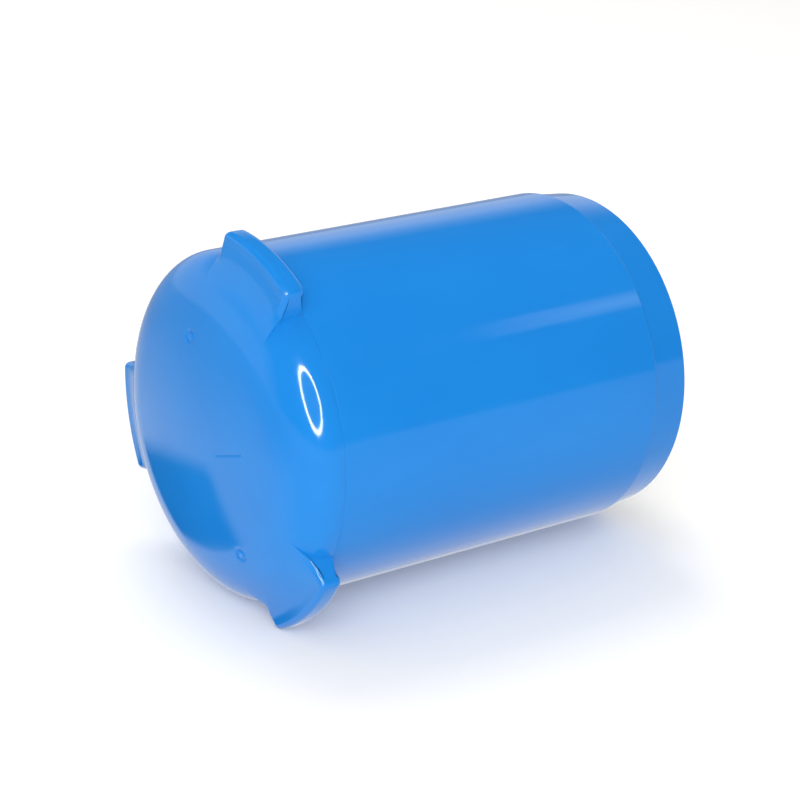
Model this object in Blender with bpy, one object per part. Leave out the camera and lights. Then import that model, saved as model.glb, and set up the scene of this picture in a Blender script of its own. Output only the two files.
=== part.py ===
"""Cartridge filter housing for a pool or spa, lying on its side.

A one-piece cup with three grip lugs screws over a base. The base carries the outlet spigot, the inlet
ports and a pleated cartridge, and it clamps to the wall of the pool with a nut.

Every round piece is drawn about the local Z axis of the empty "housing_axis". Along that axis, station 0 is
the parting line behind the lugs, and stations grow towards the mouth. The empty turns local +Z to world +X.
Lengths are in metres.
"""

from math import asin, atan2, ceil, cos, hypot, pi, radians, sin, tan

import bmesh
import bpy
from mathutils import Matrix, Vector

# Cartridge
CARTRIDGE_RADIUS = 0.0530
CARTRIDGE_LENGTH = 0.1360
CARTRIDGE_BORE = 0.0253
CARTRIDGE_START = -0.0047
CAP_THICKNESS = 0.0080
CAP_ROUND = 0.0015
CORE_WALL = 0.0020
CORE_BARS = 8
CORE_RINGS = 7
PLEATS = 40
PLEAT_SKIN = 0.0030
PLEAT_EDGE = 0.0025
PAPER_BAND_WIDTH = 0.0060
PAPER_BAND_THICKNESS = 0.0008

# Cup
WALL = 0.0030
WATER_GAP = 0.0060
BAND_LENGTH = 0.0160
BAND_STEP = 0.0007
RIM_ROUND = 0.0008
DOME_STRAIGHT = 0.0011
SHOULDER_DEPTH = 0.0180
SHOULDER_WIDTH = 0.0300
SHOULDER_TURN = radians(75)

# Grip lugs on the cup
LUG_COUNT = 3
LUG_HEIGHT = 0.0093
LUG_THICKNESS = 0.0083
LUG_HALF_WIDTH = 0.0200
LUG_EDGE_ROUND = 0.0016
LUG_FROM_TOP = radians(15)

# Screw thread between the cup's mouth and the base
THREAD_STARTS = 3
THREAD_LEAD = 0.0180
THREAD_SWEEP = radians(100)
THREAD_DEPTH = 0.0024
THREAD_ROOT_WIDTH = 0.0026
THREAD_TIP_WIDTH = 0.0018
THREAD_FROM_RIM = 0.0145
BASE_THREAD_LAG = radians(30)

# Base plug
BASE_FIT = 0.0004
LAND_LENGTH = 0.0060
PLATE_THICKNESS = 0.0038
SKIRT_LENGTH = 0.0115
SKIRT_WALL = 0.0030
HUB_STAND_OFF = 0.0070
HUB_RECESS = 0.0010
PORT_COUNT = 9
PORT_INNER_EDGE = 0.0045
PORT_OUTER_EDGE = 0.0019
PORT_SWEEP = radians(24)

# Inlet grille and its screws
GRILLE_THICKNESS = 0.0016
GRILLE_SLOTS = 24
GRILLE_SLOT_SWEEP = radians(4.5)
SCREW_COUNT = 3
SCREW_RADIUS = 0.0015
SCREW_HEAD_RADIUS = 0.0029
SCREW_HEAD_HEIGHT = 0.0018
SCREW_LENGTH = 0.0040

# Outlet spigot, nut and seals
SPIGOT_LENGTH_IN_CARTRIDGE = 0.0120
SPIGOT_WALL = 0.0030
STEM_RADIUS = 0.0189
STEM_WALL = 0.0034
STEM_REACH = 0.0250
FLANGE_WIDTH = 0.0131
FLANGE_THICKNESS = 0.0035
GASKET_THICKNESS = 0.0026
WALL_GASKET_THICKNESS = 0.0020
WASHER_THICKNESS = 0.0015
WASHER_WIDTH = 0.0111
NUT_WALL = 0.0046
NUT_THICKNESS = 0.0080
NUT_CHAMFER = 0.0012
BASE_RING_SECTION = 0.0026
SPIGOT_RING_SECTION = 0.0028
CUSHION_THICKNESS = 0.0024
CUSHION_WIDTH = 0.0068

# Fits
GAP = 0.0003
BORE_CLEARANCE = 0.0007
PASS_CLEARANCE = 0.0012
BURY = 0.0004

# How finely round pieces are divided
BIG_SEGMENTS = 48
RING_SEGMENTS = 32
SMALL_SEGMENTS = 12
LUG_TIP_STEPS = 3.5
MERGE = 1e-7

# Sizes that follow from the ones above
CARTRIDGE_IN = CARTRIDGE_START
CARTRIDGE_OUT = CARTRIDGE_IN + CARTRIDGE_LENGTH
SKIRT_IN = CARTRIDGE_OUT + 3 * GAP
LAND_IN = SKIRT_IN + SKIRT_LENGTH
LAND_OUT = LAND_IN + LAND_LENGTH
MOUTH = LAND_OUT + GAP
BARREL_LENGTH = MOUTH - BAND_LENGTH
BORE_RADIUS = CARTRIDGE_RADIUS + WATER_GAP
BARREL_RADIUS = BORE_RADIUS + WALL
MOUTH_BORE = CARTRIDGE_RADIUS + PASS_CLEARANCE + THREAD_DEPTH
RIM_RADIUS = MOUTH_BORE + WALL
BORE_END = BARREL_LENGTH - WALL
FACE_RADIUS = BARREL_RADIUS - SHOULDER_WIDTH * (1 - cos(SHOULDER_TURN))
FACE_SLOPE = SHOULDER_DEPTH / SHOULDER_WIDTH / tan(SHOULDER_TURN)
CROWN_RISE = FACE_SLOPE * FACE_RADIUS / 2
DOME_DEPTH = DOME_STRAIGHT + SHOULDER_DEPTH * sin(SHOULDER_TURN) + CROWN_RISE
LUG_RADIUS = BARREL_RADIUS + LUG_HEIGHT

LAND_RADIUS = MOUTH_BORE - BASE_FIT
PLATE_OUT = LAND_IN + PLATE_THICKNESS
SKIRT_RADIUS = MOUTH_BORE - THREAD_DEPTH - 2 * BASE_FIT
SKIRT_BORE = SKIRT_RADIUS - SKIRT_WALL
HUB_SEAT = PLATE_OUT + GRILLE_THICKNESS + HUB_STAND_OFF
HUB_FLOOR = HUB_SEAT - HUB_RECESS
HUB_BORE = STEM_RADIUS + GAP
HUB_RADIUS = STEM_RADIUS + WASHER_WIDTH + WALL
PORT_INNER = HUB_RADIUS + PORT_INNER_EDGE
PORT_OUTER = SKIRT_BORE - PORT_OUTER_EDGE
GROOVE_DEPTH = BASE_RING_SECTION + GAP
GROOVE_WIDTH = BASE_RING_SECTION + 2 * GAP
GROOVE_MIDDLE = (LAND_IN + LAND_OUT) / 2
SCREW_PITCH_RADIUS = (PORT_INNER + PORT_OUTER) / 2

MEDIA_IN = CARTRIDGE_IN + CAP_THICKNESS + GAP
MEDIA_OUT = CARTRIDGE_OUT - CAP_THICKNESS - GAP
CORE_BORE = CARTRIDGE_BORE + GAP
CORE_CORNER_RADIUS = (CORE_BORE + CORE_WALL) / cos(pi / (2 * CORE_BARS))
PLEAT_ROOT_RADIUS = CORE_CORNER_RADIUS + GAP
PLEAT_TIP_RADIUS = CARTRIDGE_RADIUS - PLEAT_EDGE

PLUG_RADIUS = CARTRIDGE_BORE - BORE_CLEARANCE
PLUG_TIP = CARTRIDGE_IN + CAP_THICKNESS - 2 * GAP
CUSHION_SEAT = CARTRIDGE_IN - CUSHION_THICKNESS - 2 * GAP
CUSHION_SEAT_RADIUS = CARTRIDGE_BORE + CUSHION_WIDTH / 2

FLANGE_RADIUS = STEM_RADIUS + FLANGE_WIDTH
FLANGE_OUT = LAND_IN - GASKET_THICKNESS - 2 * GAP
FLANGE_IN = FLANGE_OUT - FLANGE_THICKNESS
SPIGOT_RADIUS = CARTRIDGE_BORE - BORE_CLEARANCE
SPIGOT_IN = CARTRIDGE_OUT - SPIGOT_LENGTH_IN_CARTRIDGE
SPIGOT_GROOVE_DEPTH = SPIGOT_RING_SECTION - BORE_CLEARANCE + 2 * GAP
SPIGOT_GROOVE_WIDTH = SPIGOT_RING_SECTION + 2 * GAP
STEM_BORE = STEM_RADIUS - STEM_WALL
STEM_OUT = MOUTH + STEM_REACH
NUT_ACROSS_FLATS = 2 * (STEM_RADIUS + NUT_WALL)


# Materials: colour as linear RGB, roughness, metallic
BLUE_PLASTIC = ("blue_plastic", (0.020, 0.250, 0.780), 0.22, 0.0)
PALE_PLASTIC = ("pale_plastic", (0.620, 0.660, 0.690), 0.38, 0.0)
GREY_PLASTIC = ("grey_plastic", (0.210, 0.230, 0.250), 0.42, 0.0)
BLACK_RUBBER = ("black_rubber", (0.018, 0.018, 0.020), 0.65, 0.0)
CAP_RUBBER = ("cap_rubber", (0.070, 0.200, 0.480), 0.60, 0.0)
WHITE_MEDIA = ("white_media", (0.780, 0.800, 0.820), 0.90, 0.0)
STEEL = ("stainless_steel", (0.600, 0.600, 0.580), 0.30, 1.0)


def clear_scene():
    """Remove the objects that the scene starts with."""
    for leftover in list(bpy.data.objects):
        bpy.data.objects.remove(leftover, do_unlink=True)


def finish_of(finish):
    """Return the material for one finish, made once."""
    name, colour, roughness, metallic = finish
    found = bpy.data.materials.get(name)
    if found:
        return found
    made = bpy.data.materials.new(name)
    made.use_nodes = True
    shader = made.node_tree.nodes["Principled BSDF"]
    shader.inputs["Base Color"].default_value = (*colour, 1.0)
    shader.inputs["Roughness"].default_value = roughness
    shader.inputs["Metallic"].default_value = metallic
    made.diffuse_color = (*colour, 1.0)
    return made


def object_from(bm, name, finish, parent):
    """Turn a bmesh into a smooth-shaded object under its parent."""
    bmesh.ops.remove_doubles(bm, verts=bm.verts, dist=MERGE)
    bmesh.ops.recalc_face_normals(bm, faces=bm.faces)
    mesh = bpy.data.meshes.new(name)
    bm.to_mesh(mesh)
    bm.free()
    mesh.shade_smooth()
    mesh.set_sharp_from_angle(angle=radians(30))
    mesh.materials.append(finish_of(finish))
    made = bpy.data.objects.new(name, mesh)
    bpy.context.collection.objects.link(made)
    made.parent = parent
    return made


def cutter_from(bm, name, parent):
    """Turn a bmesh into a hidden shape that only cuts or joins."""
    made = object_from(bm, name, GREY_PLASTIC, parent)
    made.hide_render = True
    made.display_type = "WIRE"
    return made


def combine(target, other, operation):
    """Join another shape to the target, or cut it out of the target."""
    change = target.modifiers.new(f"{operation.lower()}_{other.name}", "BOOLEAN")
    change.operation = operation
    change.object = other
    change.solver = "EXACT"


def spin_profile(bm, profile, segments, closed=True):
    """Turn (radius, station) points about Z. A flat of the polygon, at the stated radius, faces local X."""
    step = 2 * pi / segments
    spread = 1 / cos(step / 2)
    verts = [
        bm.verts.new((r * spread * cos(step / 2), r * spread * sin(step / 2), station))
        for r, station in profile
    ]
    pairs = list(zip(verts, verts[1:]))
    if closed:
        pairs.append((verts[-1], verts[0]))
    bmesh.ops.spin(
        bm,
        geom=verts + [bm.edges.new(pair) for pair in pairs],
        cent=(0, 0, 0),
        axis=(0, 0, 1),
        angle=2 * pi,
        steps=segments,
        use_merge=True,
    )


def carry_section(bm, section, start, sweep, steps, climb=0.0):
    """Carry a section of (radius, station) points round the axis over an angle, climbing as it goes."""
    verts = [bm.verts.new((r * cos(start), r * sin(start), station)) for r, station in section]
    front = bm.faces.new(verts)
    move = Matrix.Translation((0, 0, climb / steps)) @ Matrix.Rotation(sweep / steps, 4, "Z")
    for step in range(steps):
        behind = front
        grown = bmesh.ops.extrude_face_region(bm, geom=[front])["geom"]
        front = next(item for item in grown if isinstance(item, bmesh.types.BMFace))
        bmesh.ops.transform(bm, matrix=move, verts=list(front.verts))
        if step > 0:
            bmesh.ops.delete(bm, geom=[behind], context="FACES_ONLY")


def turned(name, profile, finish, parent, segments=BIG_SEGMENTS, closed=True):
    """A piece turned from one profile."""
    bm = bmesh.new()
    spin_profile(bm, profile, segments, closed)
    return object_from(bm, name, finish, parent)


def tube_profile(inner, outer, low, high, edge=0.0):
    """Section of a plain tube, with its outer edges chamfered."""
    points = [(inner, low), (inner, high)]
    if edge:
        points += [(outer - edge, high), (outer, high - edge), (outer, low + edge), (outer - edge, low)]
    else:
        points += [(outer, high), (outer, low)]
    return points


def ring(name, middle_radius, section, station, finish, parent, sides=6):
    """An O-ring: a round section turned about the axis."""
    half = section / 2
    profile = [
        (middle_radius + half * cos(2 * pi * i / sides), station - half * sin(2 * pi * i / sides))
        for i in range(sides)
    ]
    return turned(name, profile, finish, parent, RING_SEGMENTS)


def helical_ridge(bm, root, tip, station, start):
    """One thread start: a trapezoid from root radius to tip radius, carried along the thread's helix."""
    section = [
        (root, station - THREAD_ROOT_WIDTH / 2),
        (tip, station - THREAD_TIP_WIDTH / 2),
        (tip, station + THREAD_TIP_WIDTH / 2),
        (root, station + THREAD_ROOT_WIDTH / 2),
    ]
    steps = round(THREAD_SWEEP / (2 * pi / BIG_SEGMENTS))
    carry_section(bm, section, start, THREAD_SWEEP, steps, THREAD_LEAD * THREAD_SWEEP / (2 * pi))


def thread_station(angle):
    """Station of the cup's thread at an angle from the first start."""
    return MOUTH - THREAD_FROM_RIM + THREAD_LEAD * angle / (2 * pi)


def dome_points(depth, count):
    """Outline of the dome's elliptical shoulder from the barrel to the face, set inwards by a depth."""
    points = []
    for i in range(count + 1):
        angle = SHOULDER_TURN * i / count
        across = cos(angle) / SHOULDER_WIDTH
        along = sin(angle) / SHOULDER_DEPTH
        length = hypot(across, along)
        radius = BARREL_RADIUS - SHOULDER_WIDTH * (1 - cos(angle)) - depth * across / length
        station = -DOME_STRAIGHT - SHOULDER_DEPTH * sin(angle) + depth * along / length
        points.append((radius, station))
    return points


def crown_station(radius, depth):
    """Station of the crowned face, which leaves the shoulder smoothly, at a radius and set inwards by a depth."""
    return -DOME_DEPTH + CROWN_RISE * (radius / FACE_RADIUS) ** 2 + depth


def cup_profile():
    """Section of the cup: down the outside from the crown to the rim, and back up the inside."""
    half_face = FACE_RADIUS / 2
    outside = [(0, crown_station(0, 0)), (half_face, crown_station(half_face, 0))]
    outside += list(reversed(dome_points(0, 7)))
    outside += [
        (BARREL_RADIUS, BARREL_LENGTH),
        (BARREL_RADIUS - BAND_STEP, BARREL_LENGTH + BAND_STEP),
        (RIM_RADIUS, MOUTH - RIM_ROUND),
        (RIM_RADIUS - RIM_ROUND, MOUTH),
    ]
    inside = [
        (MOUTH_BORE + RIM_ROUND, MOUTH),
        (MOUTH_BORE, MOUTH - RIM_ROUND),
        (MOUTH_BORE, BORE_END + BORE_RADIUS - MOUTH_BORE),
        (BORE_RADIUS, BORE_END),
    ]
    inside += dome_points(WALL, 5)
    plug_bore = PLUG_RADIUS - WALL
    inside += [
        (CUSHION_SEAT_RADIUS, crown_station(CUSHION_SEAT_RADIUS, WALL)),
        (CUSHION_SEAT_RADIUS, CUSHION_SEAT),
        (PLUG_RADIUS, CUSHION_SEAT),
        (PLUG_RADIUS, PLUG_TIP),
        (plug_bore, PLUG_TIP),
        (plug_bore, crown_station(plug_bore, WALL)),
        (0, crown_station(0, WALL)),
    ]
    return outside + inside


def lug(bm, angle):
    """One grip lug: a piece of a ring with parallel ends, its back on the parting line."""
    lug_bm = bmesh.new()
    front_root = min(r for r, station in dome_points(WALL / 2, 16) if station >= -LUG_THICKNESS)
    profile = [
        (BARREL_RADIUS - WALL / 2, 0),
        (LUG_RADIUS, 0),
        (LUG_RADIUS, -LUG_THICKNESS),
        (front_root, -LUG_THICKNESS),
    ]
    step = asin(LUG_HALF_WIDTH / LUG_RADIUS) / LUG_TIP_STEPS
    steps = ceil(1.1 * atan2(LUG_HALF_WIDTH, front_root) / step)
    carry_section(lug_bm, profile, -steps * step, 2 * steps * step, 2 * steps)
    for side in (-1, 1):
        cut = bmesh.ops.bisect_plane(
            lug_bm,
            geom=lug_bm.verts[:] + lug_bm.edges[:] + lug_bm.faces[:],
            plane_co=(0, side * LUG_HALF_WIDTH, 0),
            plane_no=(0, side, 0),
            clear_outer=True,
        )
        rim = [item for item in cut["geom_cut"] if isinstance(item, bmesh.types.BMEdge)]
        bmesh.ops.holes_fill(lug_bm, edges=rim)
    bmesh.ops.recalc_face_normals(lug_bm, faces=lug_bm.faces)
    proud = [
        edge
        for edge in lug_bm.edges
        if len(edge.link_faces) == 2
        and edge.calc_face_angle() > radians(40)
        and max(hypot(v.co.x, v.co.y) for v in edge.verts) > BARREL_RADIUS + LUG_EDGE_ROUND
    ]
    bmesh.ops.bevel(
        lug_bm, geom=proud, offset=LUG_EDGE_ROUND, affect="EDGES", segments=2, profile=0.5, material=-1
    )
    bmesh.ops.rotate(lug_bm, verts=lug_bm.verts, cent=(0, 0, 0), matrix=Matrix.Rotation(angle, 3, "Z"))
    scratch = bpy.data.meshes.new("lug")
    lug_bm.to_mesh(scratch)
    lug_bm.free()
    bm.from_mesh(scratch)
    bpy.data.meshes.remove(scratch)


def make_cup(axis):
    """The one-piece cup: turned shell, grip lugs outside, thread inside its mouth."""
    cup = turned("housing_cup", cup_profile(), BLUE_PLASTIC, axis, closed=False)
    bm = bmesh.new()
    for i in range(LUG_COUNT):
        lug(bm, pi + LUG_FROM_TOP + 2 * pi * i / LUG_COUNT)
    combine(cup, cutter_from(bm, "cup_lugs", axis), "UNION")
    bm = bmesh.new()
    for i in range(THREAD_STARTS):
        start = 2 * pi * i / THREAD_STARTS
        helical_ridge(bm, MOUTH_BORE + BURY, MOUTH_BORE - THREAD_DEPTH, thread_station(0), start)
    combine(cup, cutter_from(bm, "cup_thread", axis), "UNION")
    return cup


def sector(bm, inner, outer, low, high, middle, sweep, steps):
    """A block between two radii and two stations, over an angle."""
    section = [(inner, low), (outer, low), (outer, high), (inner, high)]
    carry_section(bm, section, middle - sweep / 2, sweep, steps)


def post(bm, radius, low, high, middle_radius, angle):
    """A round post parallel to the axis."""
    centre = Vector((middle_radius * cos(angle), middle_radius * sin(angle), (low + high) / 2))
    bmesh.ops.create_cone(
        bm,
        cap_ends=True,
        segments=SMALL_SEGMENTS,
        radius1=radius,
        radius2=radius,
        depth=high - low,
        matrix=Matrix.Translation(centre),
    )


def screw_angles():
    """Angles of the grille's screws, each over a bar between two ports."""
    return [pi / PORT_COUNT + 2 * pi * i / SCREW_COUNT for i in range(SCREW_COUNT)]


def base_profile():
    """Section of the base plug: bore, skirt, sealing land with its groove, plate and hub."""
    groove_floor = LAND_RADIUS - GROOVE_DEPTH
    low, high = GROOVE_MIDDLE - GROOVE_WIDTH / 2, GROOVE_MIDDLE + GROOVE_WIDTH / 2
    recess_radius = HUB_RADIUS - WALL
    return [
        (HUB_BORE, LAND_IN),
        (SKIRT_BORE, LAND_IN),
        (SKIRT_BORE, SKIRT_IN),
        (SKIRT_RADIUS, SKIRT_IN),
        (SKIRT_RADIUS, LAND_IN),
        (LAND_RADIUS, LAND_IN),
        (LAND_RADIUS, low),
        (groove_floor, low),
        (groove_floor, high),
        (LAND_RADIUS, high),
        (LAND_RADIUS, LAND_OUT),
        (SKIRT_BORE, LAND_OUT),
        (SKIRT_BORE, PLATE_OUT),
        (HUB_RADIUS, PLATE_OUT),
        (HUB_RADIUS, HUB_SEAT),
        (recess_radius, HUB_SEAT),
        (recess_radius, HUB_FLOOR),
        (HUB_BORE, HUB_FLOOR),
    ]


def make_base(pivot):
    """The base plug, with its thread joined on and its ports and screw holes cut."""
    base = turned("base_plug", base_profile(), PALE_PLASTIC, pivot)
    bm = bmesh.new()
    tip = SKIRT_RADIUS + THREAD_DEPTH
    pitch = THREAD_LEAD / THREAD_STARTS
    for i in range(THREAD_STARTS):
        start = BASE_THREAD_LAG + 2 * pi * i / THREAD_STARTS
        station = thread_station(BASE_THREAD_LAG) - pitch / 2
        helical_ridge(bm, SKIRT_RADIUS - BURY, tip, station, start)
    combine(base, cutter_from(bm, "base_thread", pivot), "UNION")
    bm = bmesh.new()
    for i in range(PORT_COUNT):
        middle = 2 * pi * i / PORT_COUNT
        sector(bm, PORT_INNER, PORT_OUTER, LAND_IN - WALL, PLATE_OUT + WALL, middle, PORT_SWEEP, 3)
    for angle in screw_angles():
        low = PLATE_OUT + GRILLE_THICKNESS + 2 * GAP - SCREW_LENGTH - GAP
        post(bm, SCREW_RADIUS + GAP, low, PLATE_OUT + WALL, SCREW_PITCH_RADIUS, angle)
    combine(base, cutter_from(bm, "base_cuts", pivot), "DIFFERENCE")
    return base


def make_grille(pivot):
    """A flat slotted ring over the ports, with screw holes and a screw in each."""
    low, high = PLATE_OUT + GAP, PLATE_OUT + GAP + GRILLE_THICKNESS
    grille = turned(
        "inlet_grille", tube_profile(HUB_RADIUS + GAP, SKIRT_BORE - GAP, low, high), PALE_PLASTIC, pivot
    )
    bm = bmesh.new()
    clear_of_screw = GRILLE_SLOT_SWEEP / 2 + (SCREW_HEAD_RADIUS + GAP) / SCREW_PITCH_RADIUS
    for i in range(GRILLE_SLOTS):
        middle = 2 * pi * (i + 0.5) / GRILLE_SLOTS
        near = min(abs((middle - angle + pi) % (2 * pi) - pi) for angle in screw_angles())
        if near > clear_of_screw:
            sector(bm, PORT_INNER, PORT_OUTER, low - WALL, high + WALL, middle, GRILLE_SLOT_SWEEP, 1)
    for angle in screw_angles():
        post(bm, SCREW_RADIUS + GAP, low - WALL, high + WALL, SCREW_PITCH_RADIUS, angle)
    combine(grille, cutter_from(bm, "grille_cuts", pivot), "DIFFERENCE")
    for number, angle in enumerate(screw_angles(), start=1):
        make_screw(f"grille_screw_{number}", high + GAP, angle, pivot)


def make_screw(name, seat, angle, pivot):
    """A pan-head screw with its head on the grille."""
    bm = bmesh.new()
    head_edge = SCREW_HEAD_HEIGHT / 3
    profile = [
        (0, seat - SCREW_LENGTH),
        (SCREW_RADIUS, seat - SCREW_LENGTH),
        (SCREW_RADIUS, seat),
        (SCREW_HEAD_RADIUS, seat),
        (SCREW_HEAD_RADIUS, seat + SCREW_HEAD_HEIGHT - head_edge),
        (SCREW_HEAD_RADIUS - head_edge, seat + SCREW_HEAD_HEIGHT),
        (0, seat + SCREW_HEAD_HEIGHT),
    ]
    spin_profile(bm, profile, SMALL_SEGMENTS, closed=False)
    centre = (SCREW_PITCH_RADIUS * cos(angle), SCREW_PITCH_RADIUS * sin(angle), 0)
    bmesh.ops.translate(bm, verts=bm.verts, vec=centre)
    object_from(bm, name, STEEL, pivot)


def make_spigot(pivot):
    """The outlet spigot: a socket for the cartridge, a flange and a stem through the base."""
    groove_floor = SPIGOT_RADIUS - SPIGOT_GROOVE_DEPTH
    middle = (SPIGOT_IN + CARTRIDGE_OUT) / 2
    low, high = middle - SPIGOT_GROOVE_WIDTH / 2, middle + SPIGOT_GROOVE_WIDTH / 2
    socket_bore = groove_floor - SPIGOT_WALL / 2
    profile = [
        (socket_bore, SPIGOT_IN),
        (SPIGOT_RADIUS, SPIGOT_IN),
        (SPIGOT_RADIUS, low),
        (groove_floor, low),
        (groove_floor, high),
        (SPIGOT_RADIUS, high),
        (SPIGOT_RADIUS, FLANGE_IN),
        (FLANGE_RADIUS, FLANGE_IN),
        (FLANGE_RADIUS, FLANGE_OUT),
        (STEM_RADIUS, FLANGE_OUT),
        (STEM_RADIUS, STEM_OUT),
        (STEM_BORE, STEM_OUT),
        (STEM_BORE, FLANGE_IN),
        (socket_bore, FLANGE_IN - (socket_bore - STEM_BORE)),
    ]
    turned("outlet_spigot", profile, GREY_PLASTIC, pivot, RING_SEGMENTS)
    ring_middle = groove_floor + GAP + SPIGOT_RING_SECTION / 2
    ring("spigot_o_ring", ring_middle, SPIGOT_RING_SECTION, middle, BLACK_RUBBER, pivot)
    gasket = tube_profile(STEM_RADIUS + GAP, FLANGE_RADIUS - GAP, FLANGE_OUT + GAP, LAND_IN - GAP)
    turned("spigot_gasket", gasket, BLACK_RUBBER, pivot, RING_SEGMENTS)


def make_nut(pivot):
    """The wall gasket, slip washer and lock nut on the spigot's stem."""
    inner = STEM_RADIUS + GAP
    outer = HUB_RADIUS - WALL - GAP
    station = HUB_FLOOR + GAP
    gasket = tube_profile(inner, outer, station, station + WALL_GASKET_THICKNESS)
    turned("wall_gasket", gasket, BLACK_RUBBER, pivot, RING_SEGMENTS)
    station += WALL_GASKET_THICKNESS + GAP
    washer = tube_profile(inner, outer - GAP, station, station + WASHER_THICKNESS)
    turned("slip_washer", washer, PALE_PLASTIC, pivot, RING_SEGMENTS)
    station += WASHER_THICKNESS + GAP
    corner = NUT_ACROSS_FLATS / 2 / cos(pi / 6)
    top = station + NUT_THICKNESS
    profile = [(inner, station), (inner, top), (corner - NUT_CHAMFER, top), (corner, top - NUT_CHAMFER / 2)]
    profile += [(corner, station + NUT_CHAMFER / 2), (corner - NUT_CHAMFER, station)]
    nut = turned("lock_nut", profile, GREY_PLASTIC, pivot, RING_SEGMENTS)
    bm = bmesh.new()
    bmesh.ops.create_cone(
        bm,
        cap_ends=True,
        segments=6,
        radius1=corner,
        radius2=corner,
        depth=3 * NUT_THICKNESS,
        matrix=Matrix.Translation((0, 0, station)),
    )
    combine(nut, cutter_from(bm, "nut_hexagon", pivot), "INTERSECT")


def make_core(pivot):
    """The cartridge's core: a tube with a grid of windows between bars and rings."""
    bm = bmesh.new()
    columns = 2 * CORE_BARS
    rows = 2 * CORE_RINGS - 1
    window = (MEDIA_OUT - MEDIA_IN) / (rows + 1)
    radius = CORE_BORE / cos(pi / columns)
    angles = [2 * pi * (c + 0.5) / columns for c in range(columns)]
    bottom = [bm.verts.new((radius * cos(a), radius * sin(a), MEDIA_IN + GAP)) for a in angles]
    edges = [bm.edges.new((bottom[c], bottom[(c + 1) % columns])) for c in range(columns)]
    ring_height = window / 2
    window_height = (MEDIA_OUT - MEDIA_IN - 2 * GAP - CORE_RINGS * ring_height) / (CORE_RINGS - 1)
    gone = []
    for row in range(rows):
        is_window = row % 2 == 1
        grown = bmesh.ops.extrude_edge_only(bm, edges=edges)["geom"]
        rise = window_height if is_window else ring_height
        verts = [item for item in grown if isinstance(item, bmesh.types.BMVert)]
        faces = [item for item in grown if isinstance(item, bmesh.types.BMFace)]
        bmesh.ops.translate(bm, verts=verts, vec=(0, 0, rise))
        top = set(verts)
        edges = [item for item in grown if isinstance(item, bmesh.types.BMEdge) and set(item.verts) <= top]
        if is_window:
            faces.sort(key=lambda face: atan2(face.calc_center_median().y, face.calc_center_median().x))
            gone += faces[::2]
    bmesh.ops.delete(bm, geom=gone, context="FACES")
    core = object_from(bm, "cartridge_core", PALE_PLASTIC, pivot)
    shell = core.modifiers.new("wall", "SOLIDIFY")
    shell.thickness = CORE_WALL
    shell.offset = 1.0


def make_media(pivot):
    """The pleated sheet, folded round the core, and the two bands that hold its folds."""
    bm = bmesh.new()
    loops = []
    for inset in (0.0, PLEAT_SKIN):
        points = []
        for i in range(2 * PLEATS):
            radius = PLEAT_TIP_RADIUS - inset if i % 2 else PLEAT_ROOT_RADIUS + PLEAT_SKIN - inset
            angle = pi * i / PLEATS
            points.append(bm.verts.new((radius * cos(angle), radius * sin(angle), MEDIA_IN)))
        loops.append([bm.edges.new((points[i], points[(i + 1) % len(points)])) for i in range(len(points))])
    sheet = bmesh.ops.bridge_loops(bm, edges=loops[0] + loops[1])["faces"]
    grown = bmesh.ops.extrude_face_region(bm, geom=sheet)["geom"]
    raised = [item for item in grown if isinstance(item, bmesh.types.BMVert)]
    bmesh.ops.translate(bm, verts=raised, vec=(0, 0, MEDIA_OUT - MEDIA_IN))
    object_from(bm, "pleated_media", WHITE_MEDIA, pivot)
    inner = PLEAT_TIP_RADIUS + GAP
    for number in (1, 2):
        middle = MEDIA_IN + (MEDIA_OUT - MEDIA_IN) * number / 3
        low, high = middle - PAPER_BAND_WIDTH / 2, middle + PAPER_BAND_WIDTH / 2
        profile = tube_profile(inner, inner + PAPER_BAND_THICKNESS, low, high)
        turned(f"media_band_{number}", profile, WHITE_MEDIA, pivot, RING_SEGMENTS)


def make_cartridge(pivot):
    """The cartridge: two moulded end caps, the core and the pleated media."""
    for name, low in (
        ("cartridge_cap_dome", CARTRIDGE_IN),
        ("cartridge_cap_base", CARTRIDGE_OUT - CAP_THICKNESS),
    ):
        profile = tube_profile(CARTRIDGE_BORE, CARTRIDGE_RADIUS, low, low + CAP_THICKNESS, CAP_ROUND)
        turned(name, profile, CAP_RUBBER, pivot)
    make_core(pivot)
    make_media(pivot)


def make_cushion(axis):
    """The rubber ring that takes up the cartridge's end play against the cup."""
    low = CUSHION_SEAT + GAP
    profile = tube_profile(
        CARTRIDGE_BORE - GAP, CARTRIDGE_BORE + CUSHION_WIDTH, low, low + CUSHION_THICKNESS
    )
    turned("cartridge_cushion", profile, BLACK_RUBBER, axis, RING_SEGMENTS)


def make_base_ring(axis):
    """The O-ring in the base's sealing land."""
    middle_radius = LAND_RADIUS - GROOVE_DEPTH + GAP / 2 + BASE_RING_SECTION / 2
    ring("base_o_ring", middle_radius, BASE_RING_SECTION, GROOVE_MIDDLE, BLACK_RUBBER, axis)


def empty_at(name, parent=None):
    """An empty on the housing's axis."""
    made = bpy.data.objects.new(name, None)
    bpy.context.collection.objects.link(made)
    made.parent = parent
    return made


def stand_on_floor(axis):
    """Turn the axis to lie along world X and put the origin at the middle of the whole object's base."""
    axis.rotation_euler = (0, pi / 2, 0)
    bpy.context.view_layer.update()
    graph = bpy.context.evaluated_depsgraph_get()
    lows, highs = [], []
    for made in bpy.context.collection.objects:
        if made.type != "MESH" or made.hide_render:
            continue
        shape = made.evaluated_get(graph)
        points = [shape.matrix_world @ vertex.co for vertex in shape.data.vertices]
        lows.append([min(p[i] for p in points) for i in range(3)])
        highs.append([max(p[i] for p in points) for i in range(3)])
    low = [min(values) for values in zip(*lows)]
    high = [max(values) for values in zip(*highs)]
    axis.location = (-(low[0] + high[0]) / 2, -(low[1] + high[1]) / 2, -low[2])


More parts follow.
